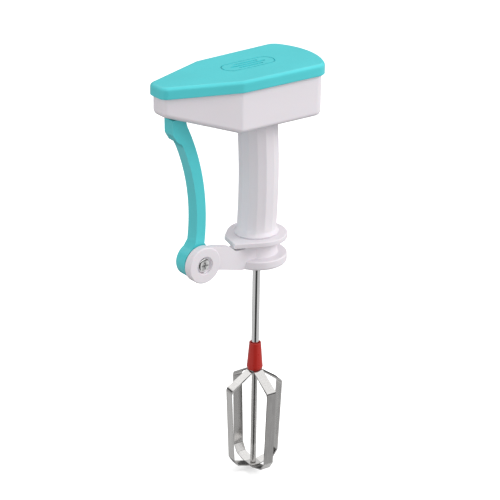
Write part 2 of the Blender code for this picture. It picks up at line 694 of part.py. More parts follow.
def make_rack():
    low = RACK_Z - RACK_HEIGHT / 2
    rack = outline_solid("rack", [rack_outline()], low, low + RACK_HEIGHT, material="nylon")
    clear = NOSE_RADIUS + 0.00035
    yoke = box("rack_yoke", (NOSE_X - clear - YOKE_CHEEK, -YOKE_HALF_Y, YOKE_LOW_Z),
               (NOSE_X + clear + YOKE_CHEEK, YOKE_HALF_Y, YOKE_HIGH_Z))
    window = box("yoke_window", (NOSE_X - clear, -0.02, 0.05), (NOSE_X + clear, 0.02, 0.0711))
    join(rack, yoke)
    cut(rack, window)
    return rack


def make_double_gear():
    centre = (WHEEL_X, 0.0)
    wheel = outline_solid("double_gear", [gear_outline(WHEEL_TEETH, TRAIN_MODULE, 0.0, centre)],
                          WHEEL_LOW_Z, WHEEL_HIGH_Z, material="nylon")
    teeth = gear_outline(RACK_PINION_TEETH, RACK_MODULE, math.pi / 2, centre)
    pinion = outline_solid("double_gear_pinion", [teeth], PINION_LOW_Z, WHEEL_LOW_Z + 0.0005)
    join(wheel, pinion)
    cut(wheel, cylinder("double_gear_bore", AXLE_RADIUS + GAP, 0.05, 0.09, at=centre, sides=20))
    for i in range(3):
        angle = math.radians(60 + 120 * i)
        spot = (WHEEL_X + 0.0125 * math.cos(angle), 0.0125 * math.sin(angle))
        cut(wheel, cylinder(f"wheel_window_{i + 1}", 0.0036, 0.073, 0.080, at=spot, sides=12))
    return wheel


def make_gear_axle():
    centre = (WHEEL_X, 0.0)
    floor = HOUSING_FLOOR_Z + HOUSING_WALL
    ceiling = COVER_TOP_Z - COVER_PLATE
    axle = cylinder("gear_axle", AXLE_RADIUS, floor + 0.0043, ceiling - GAP, at=centre, sides=20,
                    material="steel")
    washer = cylinder("gear_washer", GEAR_WASHER_RADIUS, PINION_LOW_Z - 0.0009, PINION_LOW_Z - GAP, at=centre,
                      sides=20, material="steel")
    cut(washer, cylinder("gear_washer_hole", AXLE_RADIUS + GAP, 0.05, 0.07, at=centre, sides=16))
    return axle, washer


def make_shaft_set():
    shaft = turned("drive_shaft", [
        (0.0, SHAFT_TOP_Z), (SHAFT_RADIUS - 0.0005, SHAFT_TOP_Z),
        (SHAFT_RADIUS, SHAFT_TOP_Z - 0.0005), (SHAFT_RADIUS, SHAFT_BOTTOM_Z + 0.0005),
        (SHAFT_RADIUS - 0.0005, SHAFT_BOTTOM_Z), (0.0, SHAFT_BOTTOM_Z)],
        material="chrome", steps=24)
    phase = math.pi / PINION_TEETH
    pinion = outline_solid("shaft_pinion", [gear_outline(PINION_TEETH, TRAIN_MODULE, phase)],
                           WHEEL_LOW_Z - 0.0006, WHEEL_HIGH_Z + 0.0006, material="nylon")
    hub = cylinder("pinion_hub", PINION_HUB_RADIUS, 0.0500, WHEEL_LOW_Z, sides=20)
    join(pinion, hub)
    cut(pinion, cylinder("pinion_bore", SHAFT_RADIUS + GAP, 0.04, 0.09, sides=24))
    ring = cylinder("retaining_ring", RING_RADIUS, -0.0388, -0.0378, sides=24, material="steel")
    cut(ring, cylinder("ring_hole", SHAFT_RADIUS + GAP, -0.05, -0.03, sides=24))
    return shaft, pinion, ring


def make_bush(name, low, high, lip_low, lip_high):
    bush = cylinder(name, BUSH_RADIUS, low, high, sides=24, material="brass")
    join(bush, cylinder(name + "_lip", BUSH_RADIUS + 0.0012, lip_low, lip_high, sides=24))
    cut(bush, cylinder(name + "_bore", SHAFT_RADIUS + GAP, low - 0.01, high + 0.01, sides=24))
    return bush


def make_bushes():
    floor = HOUSING_FLOOR_Z + HOUSING_WALL
    upper = make_bush("upper_bush", floor - 0.0120, floor + 0.0018, floor + GAP, floor + 0.0018)
    lower = cylinder("lower_bush", BUSH_RADIUS, -0.0557, -0.0395, sides=24, material="brass")
    cut(lower, cylinder("lower_bush_bore", SHAFT_RADIUS + GAP, -0.07, -0.03, sides=24))
    return upper, lower


# ---- fasteners --------------------------------------------------------------------------------------
def make_screw(name, at, tip, seat, upwards):
    """A pan-head screw whose shank runs from its seat to its tip."""
    sign = -1.0 if upwards else 1.0
    head = seat + sign * HEAD_HEIGHT
    low_end = min(tip, head)
    high_end = max(tip, head)
    profile = [(0.0, high_end), (THREAD_RADIUS, high_end), (THREAD_RADIUS, seat), (HEAD_RADIUS, seat),
               (HEAD_RADIUS, low_end), (0.0, low_end)]
    if not upwards:
        profile = [(0.0, high_end), (HEAD_RADIUS, high_end), (HEAD_RADIUS, seat), (THREAD_RADIUS, seat),
                   (THREAD_RADIUS, low_end), (0.0, low_end)]
    return turned(name, profile, material="steel", steps=14, at=at)


def make_screws():
    floor = HOUSING_FLOOR_Z + HOUSING_WALL
    for i, spot in enumerate(COVER_SCREWS, 1):
        seat = floor_z(spot[0]) + SCREW_WELL - GAP
        make_screw(f"cover_screw_{i}", spot, COVER_TOP_Z - COVER_PLATE - 0.0012, seat, upwards=True)
    for i, spot in enumerate(RING_SCREWS, 1):
        make_screw(f"grip_screw_{i}", spot, floor - 0.0108, floor + GAP, upwards=False)
        bracket_seat = LOWER_FLANGE_BOTTOM + BRACKET_WELL - GAP
        make_screw(f"bracket_screw_{i}", spot, GRIP_BOTTOM_Z + 0.0075, bracket_seat, upwards=True)


# ---- collar and whisk -------------------------------------------------------------------------------
def make_collar():
    collar = turned("collar", [
        (0.0, COLLAR_TOP_Z), (COLLAR_TOP_RADIUS - 0.0005, COLLAR_TOP_Z),
        (COLLAR_TOP_RADIUS, COLLAR_TOP_Z - 0.0006),
        (COLLAR_BOTTOM_RADIUS, COLLAR_BOTTOM_Z + 0.0030), (COLLAR_BOTTOM_RADIUS, COLLAR_BOTTOM_Z + 0.0005),
        (COLLAR_BOTTOM_RADIUS - 0.0005, COLLAR_BOTTOM_Z), (0.0, COLLAR_BOTTOM_Z)],
        material="red_plastic", steps=28)
    cut(collar, cylinder("collar_bore", SHAFT_RADIUS + GAP, SHAFT_BOTTOM_Z - GAP, -0.13, sides=24))
    cut(collar, cylinder("stem_bore", STEM_PIN_RADIUS + GAP, -0.17, -0.15, sides=16))
    return collar


def loop_profile(drop):
    """Corners (x, z, radius) of one side of a loop, top to bottom, moved inwards by drop."""
    return [(LOOP_FLAT_HALF, LOOP_TOP_Z - drop, 0.0010),
            (LOOP_SHOULDER[0] - drop * 0.8, LOOP_SHOULDER[1] - drop * 1.6, 0.0026),
            (LOOP_FOOT[0] - drop, LOOP_FOOT[1] + drop * 0.2, 0.0018),
            (LOOP_HEEL[0] - drop * 0.7, LOOP_HEEL[1] + drop * 0.7, 0.0018),
            (LOOP_FLAT_HALF, LOOP_BOTTOM_Z + drop, 0.0010)]


def loop_ring(drop):
    right = loop_profile(drop)
    left = [(-x, z, radius) for x, z, radius in reversed(right)]
    return rounded(right + left, steps=3)


def make_loop(name, turn_deg, drop):
    rings = [loop_ring(drop), loop_ring(drop + STRIP_THICK)]
    loop = outline_solid(name, rings, -STRIP_WIDTH / 2, STRIP_WIDTH / 2, plane="XZ", material="whisk_steel")
    loop.rotation_euler.z = math.radians(turn_deg)
    cut(loop, cylinder(name + "_hole", STEM_PIN_RADIUS + GAP, -0.25, -0.15, sides=16))
    return loop


def make_whisk():
    make_loop("whisk_loop_outer", OUTER_LOOP_TURN, 0.0)
    inner_drop = STRIP_THICK + GAP
    make_loop("whisk_loop_inner", INNER_LOOP_TURN, inner_drop)
    stack = 2 * STRIP_THICK + 2 * GAP
    turned("whisk_stem", [
        (0.0, COLLAR_BOTTOM_Z + 0.0040), (STEM_PIN_RADIUS, COLLAR_BOTTOM_Z + 0.0040),
        (STEM_PIN_RADIUS, LOOP_TOP_Z - stack), (STEM_RADIUS, LOOP_TOP_Z - stack),
        (STEM_RADIUS, LOOP_BOTTOM_Z + stack), (STEM_PIN_RADIUS, LOOP_BOTTOM_Z + stack),
        (STEM_PIN_RADIUS, LOOP_BOTTOM_Z - 0.0008), (0.0, LOOP_BOTTOM_Z - 0.0008)],
        material="whisk_steel", steps=20)
    cap = turned("stem_rivet", [
        (0.0, LOOP_BOTTOM_Z - GAP), (0.0026, LOOP_BOTTOM_Z - GAP), (0.0026, LOOP_BOTTOM_Z - 0.0008),
        (0.0016, LOOP_BOTTOM_Z - 0.0018), (0.0, LOOP_BOTTOM_Z - 0.0018)], material="whisk_steel", steps=20)
    cut(cap, cylinder("rivet_hole", STEM_PIN_RADIUS + GAP, LOOP_BOTTOM_Z - 0.0011, -0.2, sides=16))


# ---- assembly ---------------------------------------------------------------------------------------
clear_scene()
PARTS = make_collection("hand_beater")
CUTTERS = make_collection("cutters")
FINISH = make_materials()

make_top_cover()
make_gear_housing()
make_hand_grip()
make_pivot_bracket()
make_lever()
make_return_spring()
make_pivot_hardware()
make_rack()
make_double_gear()
make_gear_axle()
make_shaft_set()
make_bushes()
make_screws()
make_collar()
make_whisk()
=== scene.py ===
"""Looks of a lever-driven hand beater: moulded covers, fluted grip, plated shaft and steel whisk."""

import logging
import math
from dataclasses import dataclass, field
from enum import Enum
from typing import Optional, Sequence

import bmesh
import bpy
from mathutils import Matrix, Vector


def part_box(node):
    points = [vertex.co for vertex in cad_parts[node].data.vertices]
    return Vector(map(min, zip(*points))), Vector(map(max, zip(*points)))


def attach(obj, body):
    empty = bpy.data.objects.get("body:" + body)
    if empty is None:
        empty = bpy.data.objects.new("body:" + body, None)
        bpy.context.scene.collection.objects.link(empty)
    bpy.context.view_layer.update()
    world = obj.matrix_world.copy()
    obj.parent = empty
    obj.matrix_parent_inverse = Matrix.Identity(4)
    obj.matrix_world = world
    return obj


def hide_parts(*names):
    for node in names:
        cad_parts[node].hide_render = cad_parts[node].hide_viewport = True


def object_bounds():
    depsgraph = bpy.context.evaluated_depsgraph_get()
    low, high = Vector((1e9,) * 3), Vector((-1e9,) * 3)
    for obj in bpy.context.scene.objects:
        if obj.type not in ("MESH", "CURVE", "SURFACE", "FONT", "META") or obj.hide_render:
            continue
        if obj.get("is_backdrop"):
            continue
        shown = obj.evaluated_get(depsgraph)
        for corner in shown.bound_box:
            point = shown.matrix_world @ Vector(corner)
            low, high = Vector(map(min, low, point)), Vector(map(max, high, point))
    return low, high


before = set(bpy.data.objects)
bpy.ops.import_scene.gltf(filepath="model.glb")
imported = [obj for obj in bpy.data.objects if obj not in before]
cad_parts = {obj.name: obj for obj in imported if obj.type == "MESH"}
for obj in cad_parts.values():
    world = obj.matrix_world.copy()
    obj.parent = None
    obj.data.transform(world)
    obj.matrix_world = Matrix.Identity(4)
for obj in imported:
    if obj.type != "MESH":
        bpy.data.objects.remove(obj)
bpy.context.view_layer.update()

Point = tuple[float, float]
Colour = tuple[float, float, float]

LOG = logging.getLogger("hand_beater")
MM = 0.001
SHARP_ANGLE = math.radians(32)
ON_AXIS = 1e-7

# Places that several pieces share: (x, z) of the lever's pivot, (x, y) of the screws.
PIVOT = (-0.0571, -0.0543)
COVER_SCREWS = ((0.0270, -0.0190), (0.0270, 0.0190), (-0.0540, 0.0125))
RING_SCREWS = ((-0.0112, 0.0), (0.0108, 0.0))
PIVOT_BORE = 0.0023
PILOT_RADIUS = 0.0017
WELL_RADIUS = 0.0030
PAN_HEIGHT = 0.0018


class Body(Enum):
    """The moving bodies of the beater."""

    FRAME = "frame"
    LEVER = "lever"
    RACK = "rack"
    GEAR = "gear"
    SHAFT = "shaft"
    WHISK = "whisk"


class Finish(Enum):
    """The finishes, by the name of their material slot."""

    TEAL = "teal_plastic"
    WHITE = "white_plastic"
    RED = "red_plastic"
    NYLON = "nylon"
    CHROME = "chrome"
    BRASS = "brass"
    STEEL = "steel"
    WHISK_STEEL = "whisk_steel"


class Plane(Enum):
    """The plane in which an outline is drawn before it is pulled into a solid."""

    XY = "XY"
    XZ = "XZ"


# ---- finishes ---------------------------------------------------------------------------------------
class NodeBoard:
    """A node tree, with short ways to add and join nodes."""

    def __init__(self, tree: bpy.types.NodeTree) -> None:
        """Works on an existing tree."""
        self.tree = tree

    def add(self, kind: str, **settings: object) -> bpy.types.Node:
        """Adds a node.

        Args:
            kind: The node's Blender type.
            settings: Its properties, by name.

        Returns:
            The new node.
        """
        node = self.tree.nodes.new(kind)
        for name, value in settings.items():
            setattr(node, name, value)
        return node

    def join(self, source: bpy.types.NodeSocket, target: bpy.types.NodeSocket) -> None:
        """Links an output to an input."""
        self.tree.links.new(source, target)

    def math(self, kind: str, *values: object) -> bpy.types.NodeSocket:
        """Works out a value.

        Args:
            kind: The math node's operation.
            values: Its inputs, as sockets or numbers.

        Returns:
            The result.
        """
        node = self.add("ShaderNodeMath", operation=kind)
        for socket, value in zip(node.inputs, values):
            if isinstance(value, bpy.types.NodeSocket):
                self.join(value, socket)
            else:
                socket.default_value = value
        return node.outputs[0]

    def ramp(self, value: bpy.types.NodeSocket, *stops: tuple[float, Colour]) -> bpy.types.NodeSocket:
        """Turns a value into a colour.

        Args:
            value: The value from 0 to 1.
            stops: (place, colour) pairs, in order.

        Returns:
            The colour.
        """
        node = self.add("ShaderNodeValToRGB")
        elements = node.color_ramp.elements
        while len(elements) < len(stops):
            elements.new(0.5)
        for element, (place, colour) in zip(elements, stops):
            element.position = place
            element.color = (*colour, 1.0)
        self.join(value, node.inputs["Fac"])
        return node.outputs["Color"]

    def place(self, stretch: Colour) -> bpy.types.NodeSocket:
        """Object coordinates stretched along the axes.

        Args:
            stretch: Scale along X, Y and Z.

        Returns:
            The stretched coordinates.
        """
        where = self.add("ShaderNodeTexCoord")
        mapping = self.add("ShaderNodeMapping")
        mapping.inputs["Scale"].default_value = stretch
        self.join(where.outputs["Object"], mapping.inputs["Vector"])
        return mapping.outputs["Vector"]

    def noise(self, where: bpy.types.NodeSocket, scale: float, detail: float = 3.0) -> bpy.types.NodeSocket:
        """Cloudy noise from 0 to 1.

        Args:
            where: The coordinates.
            scale: Waves to the metre.
            detail: Octaves.

        Returns:
            The noise value.
        """
        texture = self.add("ShaderNodeTexNoise")
        texture.inputs["Scale"].default_value = scale
        texture.inputs["Detail"].default_value = detail
        self.join(where, texture.inputs["Vector"])
        return texture.outputs["Fac"]

    def spread(self, value: bpy.types.NodeSocket, low: float, high: float) -> bpy.types.NodeSocket:
        """Maps the middle of a noise value to a range.

        Args:
            value: The noise value.
            low: Result where the noise is low.
            high: Result where the noise is high.

        Returns:
            The mapped value.
        """
        node = self.add("ShaderNodeMapRange")
        node.inputs["From Min"].default_value = 0.3
        node.inputs["From Max"].default_value = 0.7
        node.inputs["To Min"].default_value = low
        node.inputs["To Max"].default_value = high
        self.join(value, node.inputs["Value"])
        return node.outputs["Result"]


class MaterialBoard(NodeBoard):
    """The node tree of a new material with one Principled shader."""

    def __init__(self, name: str) -> None:
        """Starts the material.

        Args:
            name: Its name.
        """
        self.material = bpy.data.materials.new(name)
        self.material.use_nodes = True
        super().__init__(self.material.node_tree)
        self.shader = self.tree.nodes["Principled BSDF"]

    def tint(self, value: bpy.types.NodeSocket, colour: Colour, variation: float) -> None:
        """Colours the shader between a darker and a lighter tone.

        Args:
            value: Mix from 0 to 1.
            colour: The middle tone.
            variation: How far each end lies from it.
        """
        stops = ((0.3, scaled(colour, 1.0 - variation)), (0.7, scaled(colour, 1.0 + variation)))
        self.join(self.ramp(value, *stops), self.shader.inputs["Base Color"])

    def relief(self, height: bpy.types.NodeSocket, depth: float,
               under: Optional[bpy.types.NodeSocket] = None) -> bpy.types.NodeSocket:
        """Turns a value into surface relief.

        Args:
            height: The relief from 0 to 1.
            depth: Its depth in metres.
            under: A coarser relief that this one lies on.

        Returns:
            The changed normal.
        """
        bump = self.add("ShaderNodeBump")
        bump.inputs["Strength"].default_value = 1.0
        bump.inputs["Distance"].default_value = depth
        self.join(height, bump.inputs["Height"])
        if under is not None:
            self.join(under, bump.inputs["Normal"])
        return bump.outputs["Normal"]


def scaled(colour: Colour, factor: float) -> Colour:
    """The colour made lighter or darker by a factor."""
    return tuple(min(1.0, part * factor) for part in colour)


@dataclass(frozen=True)
class MouldedPlastic:
    """Injection-moulded plastic: spark-eroded grain, slow flow waves and a soft gloss."""

    slot: Finish
    colour: Colour
    roughness: float
    grain_pitch: float = 0.45 * MM
    grain_depth: float = 0.006 * MM
    wave_depth: float = 0.12 * MM
    variation: float = 0.035
    clouding: float = 0.0

    def material(self) -> bpy.types.Material:
        """Builds the material.

        Returns:
            The finished material.
        """
        board = MaterialBoard(self.slot.value + "_finish")
        everywhere = board.place((1.0, 1.0, 1.0))
        flow = board.noise(board.place((0.6, 1.0, 1.0)), 38.0, 2.0)
        grain = board.noise(everywhere, 1.0 / self.grain_pitch, 3.0)
        speck = board.noise(everywhere, 620.0, 4.0)
        board.tint(flow, self.colour, self.variation)
        board.join(board.spread(speck, self.roughness * 0.88, self.roughness * 1.14),
                   board.shader.inputs["Roughness"])
        waves = board.relief(flow, self.wave_depth)
        board.join(board.relief(grain, self.grain_depth, waves), board.shader.inputs["Normal"])
        board.shader.inputs["IOR"].default_value = 1.5
        board.shader.inputs["Subsurface Weight"].default_value = self.clouding
        board.shader.inputs["Subsurface Scale"].default_value = 1.5 * MM
        return board.material


@dataclass(frozen=True)
class DrawnMetal:
    """Metal with fine draw lines along one axis and a faintly uneven polish."""

    slot: Finish
    colour: Colour
    roughness: float
    lines: Colour
    line_depth: float = 0.002 * MM
    variation: float = 0.06

    def material(self) -> bpy.types.Material:
        """Builds the material.

        Returns:
            The finished material.
        """
        board = MaterialBoard(self.slot.value + "_finish")
        lines = board.noise(board.place(self.lines), 900.0, 4.0)
        polish = board.noise(board.place((1.0, 1.0, 1.0)), 160.0, 3.0)
        board.tint(lines, self.colour, self.variation)
        board.join(board.spread(polish, self.roughness * 0.75, self.roughness * 1.3),
                   board.shader.inputs["Roughness"])
        board.join(board.relief(lines, self.line_depth), board.shader.inputs["Normal"])
        board.shader.inputs["Metallic"].default_value = 1.0
        return board.material


@dataclass(frozen=True)
class Palette:
    """Every finish on the beater."""

    recipes: tuple = (
        MouldedPlastic(Finish.TEAL, (0.078, 0.575, 0.615), 0.33),
        MouldedPlastic(Finish.WHITE, (0.765, 0.725, 0.765), 0.36, variation=0.010, clouding=0.04),
        MouldedPlastic(Finish.RED, (0.430, 0.014, 0.008), 0.30, 0.3 * MM, wave_depth=0.03 * MM),
        MouldedPlastic(Finish.NYLON, (0.780, 0.755, 0.660), 0.46, variation=0.03, clouding=0.10),
        DrawnMetal(Finish.CHROME, (0.86, 0.86, 0.86), 0.09, (1.0, 1.0, 0.04), variation=0.02),
        DrawnMetal(Finish.BRASS, (0.74, 0.56, 0.28), 0.34, (1.0, 1.0, 1.0)),
        DrawnMetal(Finish.STEEL, (0.62, 0.62, 0.63), 0.30, (1.0, 1.0, 0.3)),
        DrawnMetal(Finish.WHISK_STEEL, (0.64, 0.63, 0.62), 0.15, (1.0, 1.0, 0.05)),
    )

    def build(self) -> dict[Finish, bpy.types.Material]:
        """Builds every material.

        Returns:
            The materials by their slot.
        """
        return {recipe.slot: recipe.material() for recipe in self.recipes}


# ---- outlines ---------------------------------------------------------------------------------------
def arc(centre: Point, radius: float, start: float, end: float, steps: int) -> list[Point]:
    """Points along an arc.

    Args:
        centre: The arc's centre.
        radius: Its radius.
        start: First angle in radians.
        end: Last angle in radians.
        steps: Chords along the arc.

    Returns:
        The points, both ends included.
    """
    angles = [start + (end - start) * i / steps for i in range(steps + 1)]
    return [(centre[0] + radius * math.cos(a), centre[1] + radius * math.sin(a)) for a in angles]


def rounded(corners: Sequence[tuple[float, float, float]], steps: int = 10) -> list[Point]:
    """An outline with each corner rounded by its own radius.

    Args:
        corners: (u, v, radius) of each corner, in order.
        steps: Chords to a rounded corner.

    Returns:
        The outline's points.
    """
    points: list[Point] = []
    for i, (u, v, radius) in enumerate(corners):
        if radius <= 0.0:
            points.append((u, v))
            continue
        here = Vector((u, v))
        back = (Vector(corners[i - 1][:2]) - here).normalized()
        ahead = (Vector(corners[(i + 1) % len(corners)][:2]) - here).normalized()
        half = math.acos(max(-1.0, min(1.0, back.dot(ahead)))) / 2
        centre = here + (back + ahead).normalized() * radius / math.sin(half)
        first = here + back * radius / math.tan(half) - centre
        last = here + ahead * radius / math.tan(half) - centre
        start = math.atan2(first.y, first.x)
        sweep = (math.atan2(last.y, last.x) - start + math.pi) % math.tau - math.pi
        points += arc((centre.x, centre.y), radius, start, start + sweep, steps)
    return points


def inset(points: Sequence[Point], distance: float) -> list[Point]:
    """An anticlockwise outline moved inwards.

    Args:
        points: The outline.
        distance: How far it moves.

    Returns:
        As many points, moved.
    """
    moved: list[Point] = []
    for i, point in enumerate(points):
        before = Vector(point) - Vector(points[i - 1])
        after = Vector(points[(i + 1) % len(points)]) - Vector(point)
        normal_before = Vector((-before.y, before.x)).normalized()
        normal_after = Vector((-after.y, after.x)).normalized()
        bisector = (normal_before + normal_after).normalized()
        reach = distance / max(0.5, bisector.dot(normal_before))
        moved.append(tuple(Vector(point) + bisector * reach))
    return moved


def slot_outline(centre: Point, half_length: float, radius: float, steps: int = 8) -> list[Point]:
    """A slot with round ends, long along its first axis.

    Args:
        centre: The slot's centre.
        half_length: Centre to the middle of a round end.
        radius: Radius of the ends.
        steps: Chords to each end.

    Returns:
        The outline's points, anticlockwise.
    """
    right = arc((centre[0] + half_length, centre[1]), radius, -math.pi / 2, math.pi / 2, steps)
    left = arc((centre[0] - half_length, centre[1]), radius, math.pi / 2, 3 * math.pi / 2, steps)
    return right + left


# ---- solids -----------------------------------------------------------------------------------------
def finish_mesh(name: str, shape: bmesh.types.BMesh) -> bpy.types.Object:
    """Turns a closed bmesh into an object with its faces pointing out.

    Args:
        name: The object's name.
        shape: The bmesh, which is freed.

    Returns:
        The new object.
    """
    bmesh.ops.recalc_face_normals(shape, faces=shape.faces)
    mesh = bpy.data.meshes.new(name)
    shape.to_mesh(mesh)
    shape.free()
    item = bpy.data.objects.new(name, mesh)
    bpy.context.scene.collection.objects.link(item)
    return item


def soften(shape: bmesh.types.BMesh, width: float, segments: int = 3,
           limit: float = math.radians(50)) -> None:
    """Rounds every edge sharper than a limit.

    Args:
        shape: The bmesh to change.
        width: Width of the rounding.
        segments: Faces across it.
        limit: Smallest angle between faces that is rounded.
    """
    edges = [edge for edge in shape.edges if edge.is_manifold and edge.calc_face_angle(0.0) > limit]
    bmesh.ops.bevel(shape, geom=edges, offset=width, segments=segments, profile=0.5, affect="EDGES",
                    clamp_overlap=True)


def loft(rings: Sequence[Sequence[Vector]], closed: bool = False) -> bmesh.types.BMesh:
    """Skins rings of equal count, with a face over each end unless the rings form a closed tube.

    Args:
        rings: The rings, each with the same number of points.
        closed: Whether the last ring joins the first.

    Returns:
        The closed bmesh.
    """
    shape = bmesh.new()
    made = [[shape.verts.new(point) for point in ring] for ring in rings]
    count = len(made[0])
    pairs = list(zip(made, made[1:]))
    if closed:
        pairs.append((made[-1], made[0]))
    for low, high in pairs:
        for i in range(count):
            j = (i + 1) % count
            shape.faces.new((low[i], low[j], high[j], high[i]))
    if not closed:
        shape.faces.new(list(reversed(made[0])))
        shape.faces.new(made[-1])
    return shape


def raised(points: Sequence[Point], level: float, plane: Plane = Plane.XY) -> list[Vector]:
    """An outline's points in space.

    Args:
        points: The outline.
        level: Its place along the third axis.
        plane: The plane it is drawn in.

    Returns:
        The points.
    """
    if plane is Plane.XY:
        return [Vector((u, v, level)) for u, v in points]
    return [Vector((u, level, v)) for u, v in points]


def prism(points: Sequence[Point], low: float, high: float, plane: Plane = Plane.XY) -> bmesh.types.BMesh:
    """An outline pulled from low to high along the third axis."""
    return loft([raised(points, low, plane), raised(points, high, plane)])


def hoop(outer: Sequence[Point], inner: Sequence[Point], low: float, high: float,
         plane: Plane = Plane.XY) -> bmesh.types.BMesh:
    """The band between two outlines of equal count, pulled from low to high."""
    return loft([raised(outer, low, plane), raised(outer, high, plane), raised(inner, high, plane),
                 raised(inner, low, plane)], closed=True)


def lathe(profile: Sequence[Point], sides: int, centre: Point = (0.0, 0.0),
          axis: str = "Z") -> bmesh.types.BMesh:
    """Turns a profile about an axis.

    Args:
        profile: (radius, height) points. It starts and ends on the axis, or else it closes on itself.
        sides: Facets round the axis.
        centre: The axis's two other coordinates.
        axis: Z or Y.

    Returns:
        The closed bmesh.
    """
    shape = bmesh.new()

    def at(radius: float, height: float, angle: float) -> Vector:
        """A point on the turned surface."""
        u = centre[0] + radius * math.cos(angle)
        v = centre[1] + radius * math.sin(angle)
        return Vector((u, v, height)) if axis == "Z" else Vector((u, height, v))

    rings = []
    for radius, height in profile:
        if radius < ON_AXIS:
            rings.append([shape.verts.new(at(0.0, height, 0.0))])
        else:
            rings.append([shape.verts.new(at(radius, height, math.tau * i / sides)) for i in range(sides)])
    on_axis = len(rings[0]) == 1
    pairs = list(zip(rings, rings[1:]))
    if not on_axis:
        pairs.append((rings[-1], rings[0]))
    for one, other in pairs:
        for i in range(sides):
            j = (i + 1) % sides
            corners = [one[i % len(one)], one[j % len(one)], other[j % len(other)], other[i % len(other)]]
            distinct = list(dict.fromkeys(corners))
            if len(distinct) > 2:
                shape.faces.new(distinct)
    return shape


def drill(steps: Sequence[Point], end: float, sides: int, centre: Point = (0.0, 0.0),
          axis: str = "Z") -> bmesh.types.BMesh:
    """A round plug that changes radius on its way, for a post or for a bore.

    Args:
        steps: (radius, start) of each step, from one end to the other.
        end: Where the last step ends.
        sides: Facets round the axis.
        centre: The axis's two other coordinates.
        axis: Z or Y.

    Returns:
        The closed bmesh.
    """
    profile = [(0.0, steps[0][1])]
    ends = [start for _, start in steps[1:]] + [end]
    for (radius, start), stop in zip(steps, ends):
        profile += [(radius, start), (radius, stop)]
    return lathe(profile + [(0.0, end)], sides, centre, axis)


def box_mesh(low: Sequence[float], high: Sequence[float]) -> bmesh.types.BMesh:
    """A plain block between two corners."""
    corners = [(low[0], low[1]), (high[0], low[1]), (high[0], high[1]), (low[0], high[1])]
    return prism(corners, low[2], high[2])


def combine(item: bpy.types.Object, operation: str, *shapes: bmesh.types.BMesh) -> bpy.types.Object:
    """Adds shapes to an object, or cuts them from it, and leaves no modifier behind.

    Args:
        item: The object to change.
        operation: UNION or DIFFERENCE.
        shapes: The other closed shapes.

    Returns:
        The same object.
    """
    for number, shape in enumerate(shapes):
        other = finish_mesh(f"{item.name}_tool_{number}", shape)
        step = item.modifiers.new("combine", "BOOLEAN")
        step.operation = operation
        step.solver = "EXACT"
        step.object = other
        bpy.context.view_layer.update()
        evaluated = item.evaluated_get(bpy.context.evaluated_depsgraph_get())
        result = bpy.data.meshes.new_from_object(evaluated)
        item.modifiers.clear()
        old = item.data
        item.data = result
        bpy.data.meshes.remove(old)
        tool_mesh = other.data
        bpy.data.objects.remove(other)
        bpy.data.meshes.remove(tool_mesh)
    return item


def cut(item: bpy.types.Object, *shapes: bmesh.types.BMesh) -> bpy.types.Object:
    """Cuts shapes from an object."""
    return combine(item, "DIFFERENCE", *shapes)


def join(item: bpy.types.Object, *shapes: bmesh.types.BMesh) -> bpy.types.Object:
    """Adds shapes to an object."""
    return combine(item, "UNION", *shapes)


# ---- dressing ---------------------------------------------------------------------------------------
@dataclass
class Workshop:
    """Holds the finishes, and gives each piece its material, body and slot."""

    finishes: dict[Finish, bpy.types.Material]

    def dress(self, piece: bpy.types.Object, body: Body, finish: Finish, *nodes: str,
              sharp: float = SHARP_ANGLE) -> bpy.types.Object:
        """Finishes a new piece.

        Args:
            piece: The piece.
            body: The body it moves with.
            finish: Its material.
            nodes: The CAD nodes it stands for.
            sharp: Edges sharper than this stay crisp.

        Returns:
            The piece.
        """
        piece.data.materials.clear()
        piece.data.materials.append(self.finishes[finish])
        piece.data.shade_smooth()
        piece.data.set_sharp_from_angle(angle=sharp)
        weighted = piece.modifiers.new("even_shading", "WEIGHTED_NORMAL")
        weighted.keep_sharp = True
        if nodes:
            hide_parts(*nodes)
        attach(piece, body.value)
        LOG.info("%s on %s in %s: %d faces", piece.name, body.value, finish.value, len(piece.data.polygons))
        return piece

    def keep(self, node: str, finish: Finish) -> None:
        """Gives a CAD node that stays in view its procedural finish.

        Args:
            node: The node's name.
            finish: Its material.
        """
        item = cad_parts[node]
        item.data.materials.clear()
        item.data.materials.append(self.finishes[finish])
        LOG.info("%s kept in %s", node, finish.value)


